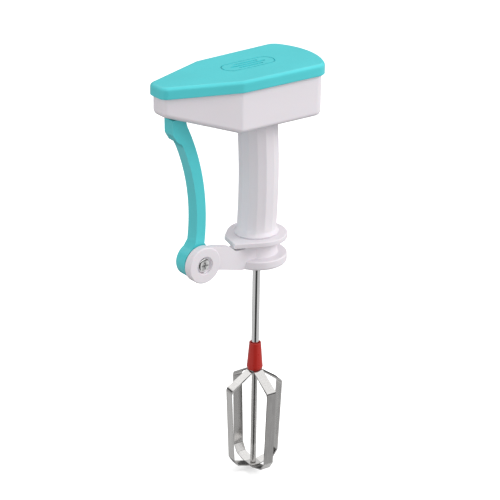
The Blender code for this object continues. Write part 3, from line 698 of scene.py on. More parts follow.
# ---- head -------------------------------------------------------------------------------------------
@dataclass
class HeadPlan:
    """Plan of the head, symmetric about X: narrow rounded tip, straight flanks, bowed rear."""

    tip_x: float = -0.0915
    tip_half: float = 0.0085
    tip_radius: float = 0.0068
    shoulder_x: float = -0.0360
    shoulder_half: float = 0.0287
    shoulder_radius: float = 0.0120
    rear_x: float = 0.0345
    rear_half: float = 0.0308
    rear_radius: float = 0.0100
    rear_bulge: float = 0.0115
    floor_z: float = 0.0450
    tip_floor_z: float = 0.0630

    def outline(self, distance: float = 0.0) -> list[Point]:
        """The plan, moved inwards.

        Args:
            distance: How far it moves in.

        Returns:
            The outline, anticlockwise.
        """
        radius = (self.rear_half ** 2 + self.rear_bulge ** 2) / (2 * self.rear_bulge)
        centre_x = self.rear_x + self.rear_bulge - radius
        reach = 0.8 * math.asin(self.rear_half / radius)
        bow = arc((centre_x, 0.0), radius, -reach, reach, 24)
        corners = [(self.tip_x, -self.tip_half, self.tip_radius),
                   (self.shoulder_x, -self.shoulder_half, self.shoulder_radius),
                   (self.rear_x, -self.rear_half, self.rear_radius)]
        corners += [(x, y, 0.0) for x, y in bow]
        corners += [(self.rear_x, self.rear_half, self.rear_radius),
                    (self.shoulder_x, self.shoulder_half, self.shoulder_radius),
                    (self.tip_x, self.tip_half, self.tip_radius)]
        return inset(rounded(corners), distance)

    def slope(self) -> float:
        """Rise of the sloped underside for each metre towards the tip."""
        return (self.tip_floor_z - self.floor_z) / (self.shoulder_x - self.tip_x)

    def floor_at(self, x: float) -> float:
        """Height of the underside at x."""
        return self.floor_z + max(0.0, self.shoulder_x - x) * self.slope()

    def wedge(self, lift: float) -> bmesh.types.BMesh:
        """The wedge to cut from under the narrow end.

        Args:
            lift: How far above the outer underside it lies.

        Returns:
            The wedge.
        """
        run_in = 0.010
        run_out = self.shoulder_x - self.tip_x + 0.020
        base = self.floor_z + lift
        points = [(self.shoulder_x + run_in, base - self.slope() * run_in),
                  (self.shoulder_x - run_out, base + self.slope() * run_out),
                  (self.shoulder_x - run_out, base - 0.020), (self.shoulder_x + run_in, base - 0.020)]
        return prism(points, -0.05, 0.05, Plane.XZ)


@dataclass
class CoverShell:
    """The teal cover: a shallow dished shell with a soft rim and a plain engraved badge."""

    shop: Workshop
    plan: HeadPlan
    rim_round: float = 0.0026
    wall: float = 0.0020
    plate: float = 0.0025
    lip: float = 0.0004
    height: float = 0.0085
    rim_straight: float = 0.0020
    badge_centre: Point = (-0.0100, 0.0012)
    badge_half: float = 0.0225
    badge_radius: float = 0.0078
    groove: float = 0.0009
    depth: float = 0.0009
    bar_pitch: float = 0.45
    bar_radius: float = 0.00085
    bar_shares: tuple[float, ...] = (0.44, 0.64, 0.44)
    boss_radius: float = 0.0034
    boss_length: float = 0.0076
    boss_chamfer: float = 0.0004
    screw_spots: tuple[Point, ...] = COVER_SCREWS

    def shell(self) -> bpy.types.Object:
        """The shell itself, from the inner plate round the rim to the top face."""
        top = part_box("top_cover")[1].z
        low = top - self.height
        levels = [(self.wall, top - self.plate), (self.wall, low + self.lip), (self.wall - self.lip, low),
                  (self.lip, low), (0.0, low + self.lip), (0.0, top - self.rim_round - self.rim_straight)]
        levels += arc((self.rim_round, top - self.rim_round), self.rim_round, math.pi, math.pi / 2, 8)
        return finish_mesh("cover_shell", loft([raised(self.plan.outline(d), z) for d, z in levels]))

    def badge(self, top: float) -> list[bmesh.types.BMesh]:
        """Cutters for the badge: a round-ended groove round three bars.

        Args:
            top: Height of the cover's top face.

        Returns:
            The cutters.
        """
        low = top - self.depth
        outer = slot_outline(self.badge_centre, self.badge_half - self.badge_radius, self.badge_radius, 16)
        cutters = [hoop(outer, inset(outer, self.groove), low, top + 0.001)]
        for row, share in enumerate(self.bar_shares, -1):
            centre = (self.badge_centre[0], self.badge_centre[1] + row * self.badge_radius * self.bar_pitch)
            bar = slot_outline(centre, self.badge_half * share, self.bar_radius)
            cutters.append(prism(bar, low, top + 0.001))
        return cutters

    def build(self) -> None:
        """Builds the cover and the bosses under it."""
        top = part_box("top_cover")[1].z
        shell = self.shell()
        cut(shell, *self.badge(top))
        self.shop.dress(shell, Body.FRAME, Finish.TEAL, "top_cover")
        for number, spot in enumerate(self.screw_spots, 1):
            high = top - self.plate + 0.0003
            low = high - self.boss_length
            ring = [(self.boss_radius, high), (self.boss_radius, low + self.boss_chamfer),
                    (self.boss_radius - self.boss_chamfer, low), (PILOT_RADIUS, low), (PILOT_RADIUS, high)]
            boss = finish_mesh(f"cover_boss_{number}", lathe(ring, 32, spot))
            self.shop.dress(boss, Body.FRAME, Finish.TEAL)


@dataclass
class GearHousing:
    """The white body under the cover: a soft-edged tub with a slot for the lever and screw wells."""

    shop: Workshop
    plan: HeadPlan
    step_in: float = 0.0023
    wall: float = 0.0020
    edge_round: float = 0.0036
    slot_low_x: float = -0.0845
    slot_high_x: float = -0.0283
    slot_half: float = 0.0062
    slot_round: float = 0.0015
    bush_bore: float = 0.0058
    post_radius: float = 0.0038
    post_top: float = 0.0747
    well_depth: float = 0.0060
    screw_spots: tuple[Point, ...] = COVER_SCREWS

    def block(self, distance: float, lift: float, high: float, edge: float) -> bpy.types.Object:
        """The head's outline from its stepped underside up.

        Args:
            distance: Inset of the outline.
            lift: Height above the outer underside.
            high: Height of the block's top.
            edge: Rounding of its lower edges.

        Returns:
            The block.
        """
        name = f"housing_block_{int(distance * 10000)}"
        block = finish_mesh(name, prism(self.plan.outline(distance), self.plan.floor_z + lift, high))
        cut(block, self.plan.wedge(lift))
        shape = bmesh.new()
        shape.from_mesh(block.data)
        middle = (self.plan.floor_z + high) / 2 + 0.006
        rim = [seam for seam in shape.edges
               if seam.is_manifold and seam.calc_face_angle(0.0) > math.radians(50)
               and all(vertex.co.z < middle for vertex in seam.verts)]
        bmesh.ops.bevel(shape, geom=rim, offset=edge, segments=6, profile=0.5, affect="EDGES")
        shape.to_mesh(block.data)
        shape.free()
        return block

    def build(self) -> None:
        """Builds the housing with its hollow, slot, bore and screw wells."""
        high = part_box("gear_housing")[1].z
        body = self.block(self.step_in, 0.0, high, self.edge_round)
        body.name = "housing_shell"
        hollow = self.block(self.step_in + self.wall, self.wall, high + 0.005, self.edge_round * 0.5)
        tool = bmesh.new()
        tool.from_mesh(hollow.data)
        bpy.data.objects.remove(hollow)
        cut(body, tool)
        corners = [(self.slot_low_x, -self.slot_half), (self.slot_high_x, -self.slot_half),
                   (self.slot_high_x, self.slot_half), (self.slot_low_x, self.slot_half)]
        cut(body, prism(rounded([(x, y, self.slot_round) for x, y in corners], 5), 0.030, 0.066))
        cut(body, drill([(self.bush_bore, 0.050)], 0.040, 40))
        for spot in self.screw_spots:
            self.post(body, spot)
        self.shop.dress(body, Body.FRAME, Finish.WHITE, "gear_housing")

    def post(self, body: bpy.types.Object, spot: Point) -> None:
        """A screw post inside the housing, with the well for its screw's head.

        Args:
            body: The housing.
            spot: The screw's place.
        """
        under = self.plan.floor_at(spot[0])
        seat = under + self.well_depth
        join(body, drill([(self.post_radius, self.post_top)], under + 0.001, 28, spot))
        cut(body, drill([(PILOT_RADIUS, self.post_top + 0.001), (WELL_RADIUS, seat)], 0.030, 28, spot))


# ---- grip and bracket -------------------------------------------------------------------------------
@dataclass
class HandGrip:
    """The oval grip: a gently bowed, fluted tube on a round flange with a small point towards the lever."""

    shop: Workshop
    half_x: float = 0.0152
    half_y: float = 0.0142
    bow: float = 0.0018
    lean: float = 0.0018
    bore: float = 0.0074
    flutes: int = 14
    flute_depth: float = 0.00042
    fade: float = 0.0075
    low_z: float = -0.0460
    floor_z: float = 0.0450
    foot_round: float = 0.0016
    flange_radius: float = 0.0222
    flange_thick: float = 0.0036
    flange_edge: float = 0.0008
    beak: tuple[Point, Point] = ((-0.0240, 0.0080), (-0.0290, -0.0105))
    beak_round: float = 0.0010
    sides: int = 168

    def centre_x(self, z: float) -> float:
        """Where the grip's middle line stands at height z."""
        share = (z - self.low_z) / (self.floor_z - self.low_z)
        return self.bow * math.sin(math.pi * share) - self.lean * (1.0 + share) / 2

    def ring(self, z: float, grow: float, fluted: float) -> list[Vector]:
        """One level of the column.

        Args:
            z: Its height.
            grow: How far it stands out from the plain oval.
            fluted: Share of the full flute depth.

        Returns:
            The ring.
        """
        points = []
        for i in range(self.sides):
            angle = math.tau * i / self.sides
            groove = self.flute_depth * fluted * abs(math.sin(self.flutes * angle / 2)) ** 0.8
            points.append(Vector((self.centre_x(z) + (self.half_x + grow - groove) * math.cos(angle),
                                  (self.half_y + grow - groove) * math.sin(angle), z)))
        return points

    def column(self) -> bpy.types.Object:
        """The fluted tube, out and in."""
        top = self.floor_z - 0.0003
        rings = []
        start = self.low_z + self.foot_round
        for x, z in arc((self.foot_round, start), self.foot_round, 1.5 * math.pi, math.pi, 5):
            rings.append(self.ring(z, self.foot_round - x, 0.0))
        steps = 36
        for i in range(1, steps + 1):
            z = start + (top - 0.0004 - start) * i / steps
            near = min(z - start, top - z)
            rings.append(self.ring(z, 0.0, min(1.0, max(0.0, near - 0.001) / self.fade) ** 0.7))
        rings.append(self.ring(top, -0.0004, 0.0))
        for i in range(9):
            z = top - (top - self.low_z) * i / 8
            turns = [math.tau * k / self.sides for k in range(self.sides)]
            x = self.centre_x(z) * 0.4
            rings.append([Vector((x + self.bore * math.cos(turn), self.bore * math.sin(turn), z))
                          for turn in turns])
        return finish_mesh("grip_column", loft(rings, closed=True))

    def tangent(self, corner: Point, side: int) -> float:
        """Angle at which a line from a corner of the beak meets the disc."""
        return math.atan2(corner[1], corner[0]) + side * math.acos(self.flange_radius / math.hypot(*corner))

    def guard(self) -> list[Point]:
        """The flange's outline, anticlockwise: a disc with a two-cornered beak over the bracket's arm."""
        back, front = self.beak
        points = arc((0.0, 0.0), self.flange_radius, self.tangent(front, 1), self.tangent(back, -1), 96)
        corners = [(*points[-1], 0.0), (*back, self.beak_round), (*front, self.beak_round), (*points[0], 0.0)]
        return points + rounded(corners, 4)[1:-1]

    def flange(self) -> bpy.types.Object:
        """The flange, a hoop with rounded edges."""
        high = self.low_z + 0.0004
        low = self.low_z - self.flange_thick
        edge = self.flange_edge
        outline = self.guard()
        turns = [math.atan2(y, x) for x, y in outline]
        middle = [(self.bore * math.cos(turn), self.bore * math.sin(turn)) for turn in turns]
        levels = arc((edge, low + edge), edge, 1.5 * math.pi, math.pi, 5)
        levels += arc((edge, high - edge), edge, math.pi, 0.5 * math.pi, 5)
        rings = [raised(inset(outline, distance), z) for distance, z in levels]
        rings = [raised(middle, low)] + rings + [raised(middle, high)]
        return finish_mesh("grip_flange", loft(rings, closed=True))

    def build(self) -> None:
        """Builds the column and its flange."""
        self.shop.dress(self.column(), Body.FRAME, Finish.WHITE, "hand_grip")
        self.shop.dress(self.flange(), Body.FRAME, Finish.WHITE)


@dataclass
class PivotBracket:
    """The bracket under the grip: neck, lower flange, arm and the round lug that carries the lever."""

    shop: Workshop
    neck_radius: float = 0.0150
    flange_radius: float = 0.0222
    neck_top: float = -0.0499
    flange_top: float = -0.0612
    flange_low: float = -0.0682
    pivot: Point = PIVOT
    lug_radius: float = 0.0137
    lug_front: float = -0.0133
    lug_back: float = -0.0070
    arm_front: float = -0.0116
    arm_back: float = -0.0074
    recess_radius: float = 0.0066
    recess_depth: float = 0.0030
    bush_bore: float = 0.0058
    bush_end: float = -0.0560
    shaft_bore: float = 0.0034
    ring_screws: tuple[Point, ...] = RING_SCREWS

    def neck(self) -> bpy.types.Object:
        """The turned neck with the lower flange and the spigot above it."""
        corners = [(0.0, -0.0400, 0.0), (0.0069, -0.0400, 0.0005), (0.0069, self.neck_top, 0.0),
                   (self.neck_radius, self.neck_top, 0.0004), (self.neck_radius, self.flange_top, 0.0010),
                   (self.flange_radius, self.flange_top, 0.0010),
                   (self.flange_radius, self.flange_low, 0.0020), (0.0, self.flange_low, 0.0)]
        return finish_mesh("pivot_bracket_body", lathe(rounded(corners, 6), 96))

    def arm(self) -> bmesh.types.BMesh:
        """The flat arm from the lug to the neck, with soft edges."""
        pivot_x, pivot_z = self.pivot
        top = pivot_z + self.lug_radius - 0.0006
        low = self.flange_low + 0.0012
        corners = [(pivot_x, pivot_z - 0.0068, 0.0), (-0.0450, pivot_z - 0.0068, 0.006),
                   (-0.0360, pivot_z - 0.0092, 0.006), (-0.0230, low, 0.002), (-0.0030, low, 0.0),
                   (-0.0030, self.neck_top - 0.0010, 0.0), (-0.0282, self.neck_top - 0.0010, 0.003),
                   (-0.0345, top - 0.0042, 0.004), (pivot_x + 0.0100, top - 0.0010, 0.006),
                   (pivot_x, top, 0.0)]
        shape = prism(rounded(corners, 5), self.arm_front, self.arm_back, Plane.XZ)
        soften(shape, 0.0009, 3)
        return shape

    def lug(self) -> bmesh.types.BMesh:
        """The round lug with soft rims and the sunk seat of the pivot screw."""
        seat = self.lug_front + self.recess_depth
        corners = [(0.0, seat, 0.0), (self.recess_radius - 0.0004, seat, 0.0004),
                   (self.recess_radius, self.lug_front, 0.0005), (self.lug_radius, self.lug_front, 0.0010),
                   (self.lug_radius, self.lug_back, 0.0004), (0.0, self.lug_back, 0.0)]
        return lathe(rounded(corners, 5), 80, self.pivot, "Y")

    def build(self) -> None:
        """Joins the bracket and bores it."""
        body = join(self.neck(), self.arm(), self.lug())
        cut(body, drill([(PIVOT_BORE, -0.006)], -0.012, 32, self.pivot, "Y"))
        cut(body, drill([(self.bush_bore, -0.039), (self.shaft_bore, self.bush_end)], -0.075, 48))
        well = self.flange_low + 0.0040
        for spot in self.ring_screws:
            cut(body, drill([(PILOT_RADIUS, -0.047), (WELL_RADIUS, well)], -0.075, 28, spot))
        self.shop.dress(body, Body.FRAME, Finish.WHITE, "pivot_bracket")


# ---- lever ------------------------------------------------------------------------------------------
@dataclass
class SqueezeLever:
    """The teal lever: round hub, curved blade, flared stop, and a round nose on a narrow neck."""

    shop: Workshop
    pivot: Point = PIVOT
    hub_radius: float = 0.0126
    half_width: float = 0.0052
    edge_round: float = 0.0013
    apex_z: float = -0.0215
    inner_radius: float = 0.1670
    outer_radius: float = 0.1430
    inner_reach: float = -0.0509
    outer_reach: float = -0.0588
    shoulders: tuple[Point, Point] = ((-0.0800, 0.0580), (-0.0690, 0.0560))
    nose_reach: float = 0.1210
    nose_radius: float = 0.0035
    neck_half: float = 0.0024
    neck_length: float = 0.0072
    pocket: float = 0.0080
    pocket_depth: float = -0.0004
    rest_angle: float = math.radians(9.0)

    def nose(self) -> list[Point]:
        """The round nose and its narrower neck, which points at the pivot."""
        down = Vector((math.sin(self.rest_angle), -math.cos(self.rest_angle)))
        centre = Vector(self.pivot) - down * self.nose_reach
        across = Vector((-down.y, down.x)) * self.neck_half
        foot = centre + down * self.neck_length
        meet = math.asin(self.neck_half / self.nose_radius)
        straight = math.atan2(down.y, down.x)
        ball = arc(tuple(centre), self.nose_radius, straight + meet, straight - meet + math.tau, 24)
        return [tuple(foot + across)] + ball + [tuple(foot - across)]

    def blade_edge(self, reach: float, radius: float, low: float, high: float, steps: int) -> list[Point]:
        """One curved edge of the blade.

        Args:
            reach: Where the curve stands furthest towards the grip.
            radius: Its radius.
            low: Height at its start.
            high: Height at its end.
            steps: Chords along it.

        Returns:
            The points.
        """
        start = math.asin((low - self.apex_z) / radius)
        end = math.asin((high - self.apex_z) / radius)
        return arc((reach - radius, self.apex_z), radius, start, end, steps)

    def outline(self) -> list[Point]:
        """Side view of the whole lever, anticlockwise."""
        neck = self.nose()
        points = self.blade_edge(self.inner_reach, self.inner_radius, -0.0405, 0.0510, 30)
        points += [self.shoulders[1]] + neck
        flare = [(*neck[-1], 0.0), (*self.shoulders[0], 0.0008), (-0.0797, 0.0470, 0.0030),
                 (-0.0762, 0.0413, 0.0040), (-0.0722, 0.0385, 0.0)]
        points += rounded(flare, 6)[1:]
        points += self.blade_edge(self.outer_reach, self.outer_radius, 0.0350, -0.0385, 26)
        points += arc(self.pivot, self.hub_radius, math.radians(118), math.radians(411), 60)
        return points

    def build(self) -> None:
        """Builds the lever with soft edges and bores its hub."""
        shape = prism(self.outline(), -self.half_width, self.half_width, Plane.XZ)
        soften(shape, self.edge_round, 4, math.radians(60))
        lever = finish_mesh("lever_blade", shape)
        steps = [(PIVOT_BORE, 0.010), (self.pocket, self.pocket_depth)]
        cut(lever, drill(steps, -0.010, 56, self.pivot, "Y"))
        self.shop.dress(lever, Body.LEVER, Finish.TEAL, "lever")


# ---- fasteners --------------------------------------------------------------------------------------
@dataclass
class Screw:
    """A pan-head screw with a cross recess and a thread of separate rings."""

    shop: Workshop
    name: str
    node: str
    spot: Point
    seat: float
    tip: float
    finish: Finish = Finish.STEEL
    axis: str = "Z"
    shank_radius: float = 0.0014
    head_radius: float = 0.0027
    head_height: float = PAN_HEIGHT
    pitch: float = 0.0009

    def way(self) -> float:
        """1 where the shank points up its axis, and -1 where it points down."""
        return 1.0 if self.tip > self.seat else -1.0

    def profile(self) -> list[Point]:
        """The screw's turned profile, head first."""
        way = self.way()
        head = self.seat - way * self.head_height
        points = [(0.0, head), (self.head_radius * 0.45, head + way * 0.00005)]
        points += [(self.head_radius * share, head + way * self.head_height * rise)
                   for share, rise in ((0.72, 0.10), (0.90, 0.26), (0.98, 0.46), (1.0, 0.62))]
        points += [(self.head_radius, self.seat), (self.shank_radius, self.seat)]
        turns = max(2, int((abs(self.tip - self.seat) - 0.0016) / self.pitch))
        start = self.seat + way * 0.0008
        points.append((self.shank_radius, start))
        for i in range(turns):
            z = start + way * self.pitch * i
            points.append((self.shank_radius * 0.80, z + way * self.pitch * 0.35))
            points.append((self.shank_radius, z + way * self.pitch * 0.85))
        points += [(self.shank_radius * 0.6, self.tip), (0.0, self.tip)]
        return points

    def recess(self) -> list[bmesh.types.BMesh]:
        """The two crossed slots in the head."""
        way = self.way()
        head = self.seat - way * self.head_height
        low, high = sorted((head - way * 0.001, head + way * self.head_height * 0.6))
        length = self.head_radius * 0.56
        width = self.head_radius * 0.12
        plane = Plane.XY if self.axis == "Z" else Plane.XZ
        shapes = []
        for half_u, half_v in ((length, width), (width, length)):
            points = [(self.spot[0] + u * half_u, self.spot[1] + v * half_v)
                      for u, v in ((-1, -1), (1, -1), (1, 1), (-1, 1))]
            shapes.append(prism(points, low, high, plane))
        return shapes

    def build(self) -> None:
        """Builds the screw."""
        screw = finish_mesh(self.name, lathe(self.profile(), 40, self.spot, self.axis))
        cut(screw, *self.recess())
        self.shop.dress(screw, Body.FRAME, self.finish, self.node)


@dataclass
class Fasteners:
    """Every screw, nut and washer."""

    shop: Workshop
    pivot: Point = PIVOT
    cover_spots: tuple[Point, ...] = COVER_SCREWS
    ring_spots: tuple[Point, ...] = RING_SCREWS

    def small(self, node: str, spot: Point, from_below: bool) -> None:
        """A self-tapping screw between the ends of the solid that it stands for.

        Args:
            node: The CAD node.
            spot: Where it stands.
            from_below: Whether its head is at the lower end.
        """
        low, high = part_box(node)
        seat, tip = (low.z + PAN_HEIGHT, high.z) if from_below else (high.z - PAN_HEIGHT, low.z)
        Screw(self.shop, node + "_body", node, spot, seat, tip).build()

    def build(self) -> None:
        """Builds them in turn."""
        for number, spot in enumerate(self.cover_spots, 1):
            self.small(f"cover_screw_{number}", spot, True)
        for number, spot in enumerate(self.ring_spots, 1):
            self.small(f"grip_screw_{number}", spot, False)
            self.small(f"bracket_screw_{number}", spot, True)
        low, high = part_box("pivot_screw")
        height = 0.0024
        Screw(self.shop, "pivot_screw_body", "pivot_screw", self.pivot, low.y + height, high.y, Finish.CHROME,
              "Y", shank_radius=0.0020, head_radius=0.0052, head_height=height, pitch=0.0007).build()
        self.washer()
        self.nut()

    def washer(self) -> None:
        """The washer under the nut."""
        low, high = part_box("pivot_washer")
        edge = 0.00015
        ring = [(0.0050, low.y + edge), (0.0050, high.y - edge), (0.0050 - edge, high.y), (0.0024, high.y),
                (0.0023, high.y - edge), (0.0023, low.y + edge), (0.0024, low.y), (0.0050 - edge, low.y)]
        self.shop.dress(finish_mesh("pivot_washer_disc", lathe(ring, 48, self.pivot, "Y")), Body.FRAME,
                        Finish.STEEL, "pivot_washer")

    def nut(self) -> None:
        """The hexagon nut, with its corners turned off."""
        low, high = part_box("pivot_nut")
        flats = arc(self.pivot, 0.0041, math.radians(30), math.radians(330), 5)
        nut = finish_mesh("pivot_nut_hex", prism(flats, low.y, high.y, Plane.XZ))
        corner = [(0.0, high.y - 0.0035), (0.0060, high.y - 0.0035), (0.0060, high.y - 0.0013),
                  (0.0035, high.y + 0.00001), (0.0, high.y + 0.00001)]
        combine(nut, "INTERSECT", lathe(corner, 48, self.pivot, "Y"))
        cut(nut, drill([(0.0022, high.y + 0.001)], low.y - 0.001, 32, self.pivot, "Y"))
        self.shop.dress(nut, Body.FRAME, Finish.STEEL, "pivot_nut")


# ---- shaft and whisk --------------------------------------------------------------------------------
@dataclass
class DriveShaft:
    """The plated shaft with chamfered ends."""

    shop: Workshop
    radius: float = 0.0028
    chamfer: float = 0.0005
    bands: int = 12

    def build(self) -> None:
        """Builds the shaft between the ends of its solid."""
        low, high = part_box("drive_shaft")
        corners = [(0.0, high.z, 0.0), (self.radius, high.z, self.chamfer),
                   (self.radius, low.z, self.chamfer), (0.0, low.z, 0.0)]
        profile = rounded(corners, 5)
        start = high.z - 2 * self.chamfer
        length = high.z - low.z - 4 * self.chamfer
        long_side = [(self.radius, start - length * i / self.bands) for i in range(self.bands + 1)]
        half = len(profile) // 2
        profile = profile[:half] + long_side + profile[half:]
        shaft = finish_mesh("shaft_rod", lathe(profile, 96))
        self.shop.dress(shaft, Body.SHAFT, Finish.CHROME, "drive_shaft")


@dataclass
class WhiskCollar:
    """The red collar: a tapered sleeve with a sunk mouth round the shaft and a rolled lower rim."""

    shop: Workshop
    top_radius: float = 0.0044
    low_radius: float = 0.0061
    bore: float = 0.0031
    pin_bore: float = 0.0016

    def build(self) -> None:
        """Builds the sleeve as one closed turned ring."""
        low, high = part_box("collar")
        top, bottom = high.z, low.z
        floor = bottom + 0.0042
        corners = [(self.bore, floor, 0.0), (self.bore, top - 0.0012, 0.0003),
                   (self.top_radius - 0.0007, top, 0.0003),
                   (self.top_radius, top, 0.0004), (self.low_radius - 0.0002, bottom + 0.0036, 0.0030),
                   (self.low_radius, bottom + 0.0024, 0.0016), (self.low_radius - 0.0006, bottom, 0.0007),
                   (self.pin_bore, bottom, 0.0), (self.pin_bore, floor, 0.0)]
        sleeve = finish_mesh("collar_sleeve", lathe(rounded(corners, 5), 80))
        self.shop.dress(sleeve, Body.WHISK, Finish.RED, "collar")


@dataclass
class Whisk:
    """Two crossed loops of flat steel strip on a central rod, held by a riveted foot."""

    shop: Workshop
    outer_turn: float = math.radians(86.5)
    inner_turn: float = math.radians(-8.0)
    width: float = 0.0080
    thick: float = 0.0009
    gap: float = 0.0003
    flat_half: float = 0.0048
    shoulder: Point = (0.0232, -0.1692)
    foot: Point = (0.0206, -0.2300)
    heel: Point = (0.0164, -0.2362)
    top_z: float = -0.1578
    low_z: float = -0.2394
    rod_radius: float = 0.0022
    pin_radius: float = 0.0013
    rivet_radius: float = 0.0026
    rivet_rim: float = 0.0006

    def ring(self, drop: float) -> list[Point]:
        """Centre outline of one face of a loop.

        Args:
            drop: How far it lies inside the outer loop's outer face.

        Returns:
            The outline.
        """
        right = [(self.flat_half, self.top_z - drop, 0.0012),
                 (self.shoulder[0] - drop * 0.8, self.shoulder[1] - drop * 1.6, 0.0040),
                 (self.foot[0] - drop, self.foot[1] + drop * 0.2, 0.0016),
                 (self.heel[0] - drop * 0.7, self.heel[1] + drop * 0.7, 0.0016),
                 (self.flat_half, self.low_z + drop, 0.0012)]
        left = [(-x, z, radius) for x, z, radius in reversed(right)]
        return rounded(right + left, 7)

    def loop(self, name: str, node: str, turn: float, drop: float) -> None:
        """Builds one loop.

        Args:
            name: The piece's name.
            node: The CAD node it stands for.
            turn: Its turn about the shaft.
            drop: How far it lies inside the outer loop.
        """
        shape = hoop(self.ring(drop), self.ring(drop + self.thick), -self.width / 2, self.width / 2, Plane.XZ)
        soften(shape, 0.00022, 2, math.radians(60))
        bmesh.ops.rotate(shape, verts=shape.verts, cent=(0.0, 0.0, 0.0), matrix=Matrix.Rotation(turn, 3, "Z"))
        strip = finish_mesh(name, shape)
        cut(strip, drill([(self.pin_radius + self.gap, -0.150)], -0.250, 24))
        self.shop.dress(strip, Body.WHISK, Finish.WHISK_STEEL, node)

    def rod(self) -> None:
        """The central rod, turned down to a pin at each end."""
        low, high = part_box("whisk_stem")
        stack = 2 * self.thick + 2 * self.gap
        corners = [(0.0, high.z, 0.0), (self.pin_radius, high.z, 0.0002),
                   (self.pin_radius, self.top_z - stack, 0.0), (self.rod_radius, self.top_z - stack, 0.0004),
                   (self.rod_radius, self.low_z + stack, 0.0004), (self.pin_radius, self.low_z + stack, 0.0),
                   (self.pin_radius, low.z, 0.0002), (0.0, low.z, 0.0)]
        rod = finish_mesh("whisk_rod", lathe(rounded(corners, 4), 56))
        self.shop.dress(rod, Body.WHISK, Finish.WHISK_STEEL, "whisk_stem")

    def foot_rivet(self) -> None:
        """The domed rivet head under the loops."""
        low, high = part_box("stem_rivet")
        rim = high.z - self.rivet_rim
        squash = (rim - low.z) / self.rivet_radius
        profile = [(0.0, high.z), (self.rivet_radius, high.z)]
        dome = arc((0.0, 0.0), self.rivet_radius, 0.0, -math.pi / 2, 10)
        profile += [(x, rim + z * squash) for x, z in dome]
        rivet = finish_mesh("whisk_rivet", lathe(profile, 48))
        self.shop.dress(rivet, Body.WHISK, Finish.WHISK_STEEL, "stem_rivet")

    def build(self) -> None:
        """Builds the loops, the rod and the rivet."""
        self.loop("whisk_strip_outer", "whisk_loop_outer", self.outer_turn, 0.0)
        self.loop("whisk_strip_inner", "whisk_loop_inner", self.inner_turn, self.thick + self.gap)
        self.rod()
        self.foot_rivet()


# ---- drive ------------------------------------------------------------------------------------------
@dataclass
class DriveTrain:
    """The working pieces inside, kept as they are and given their finishes."""

    shop: Workshop
    kept: dict[str, Finish] = field(default_factory=lambda: {
        "rack": Finish.NYLON, "double_gear": Finish.NYLON, "shaft_pinion": Finish.NYLON,
        "pivot_spacer": Finish.NYLON, "upper_bush": Finish.BRASS, "lower_bush": Finish.BRASS,
        "gear_axle": Finish.STEEL, "gear_washer": Finish.STEEL, "retaining_ring": Finish.STEEL,
        "return_spring": Finish.STEEL})

    def build(self) -> None:
        """Dresses each kept node."""
        for node, finish in self.kept.items():
            self.shop.keep(node, finish)


# ---- studio -----------------------------------------------------------------------------------------
@dataclass
class Viewpoint:
    """The camera: a long lens, slightly above the beater and left of its front."""

    azimuth: float = math.radians(-38.38)
    elevation: float = math.radians(23.67)
    roll: float = math.radians(1.05)
    distance: float = 1.6
    target: tuple[float, float, float] = (0.0, 0.0, -0.075)
    lens: float = 156.1
    shift: Point = (-0.013, 0.0354)

    def build(self) -> None:
        """Sets the camera up and makes it the scene's own."""
        a, e = self.azimuth, self.elevation
        back = Vector((math.sin(a) * math.cos(e), -math.cos(a) * math.cos(e), math.sin(e)))
        level = Vector((math.cos(a), math.sin(a), 0.0))
        right = level * math.cos(self.roll) + back.cross(level) * math.sin(self.roll)
        data = bpy.data.cameras.new("studio_camera")
        data.lens = self.lens
        data.shift_x, data.shift_y = self.shift
        data.clip_start = 0.05
        item = bpy.data.objects.new("studio_camera", data)
        turned = Matrix((right, back.cross(right), back)).transposed().to_4x4()
        item.matrix_world = Matrix.Translation(Vector(self.target) + back * self.distance) @ turned
        bpy.context.scene.collection.objects.link(item)
        bpy.context.scene.camera = item


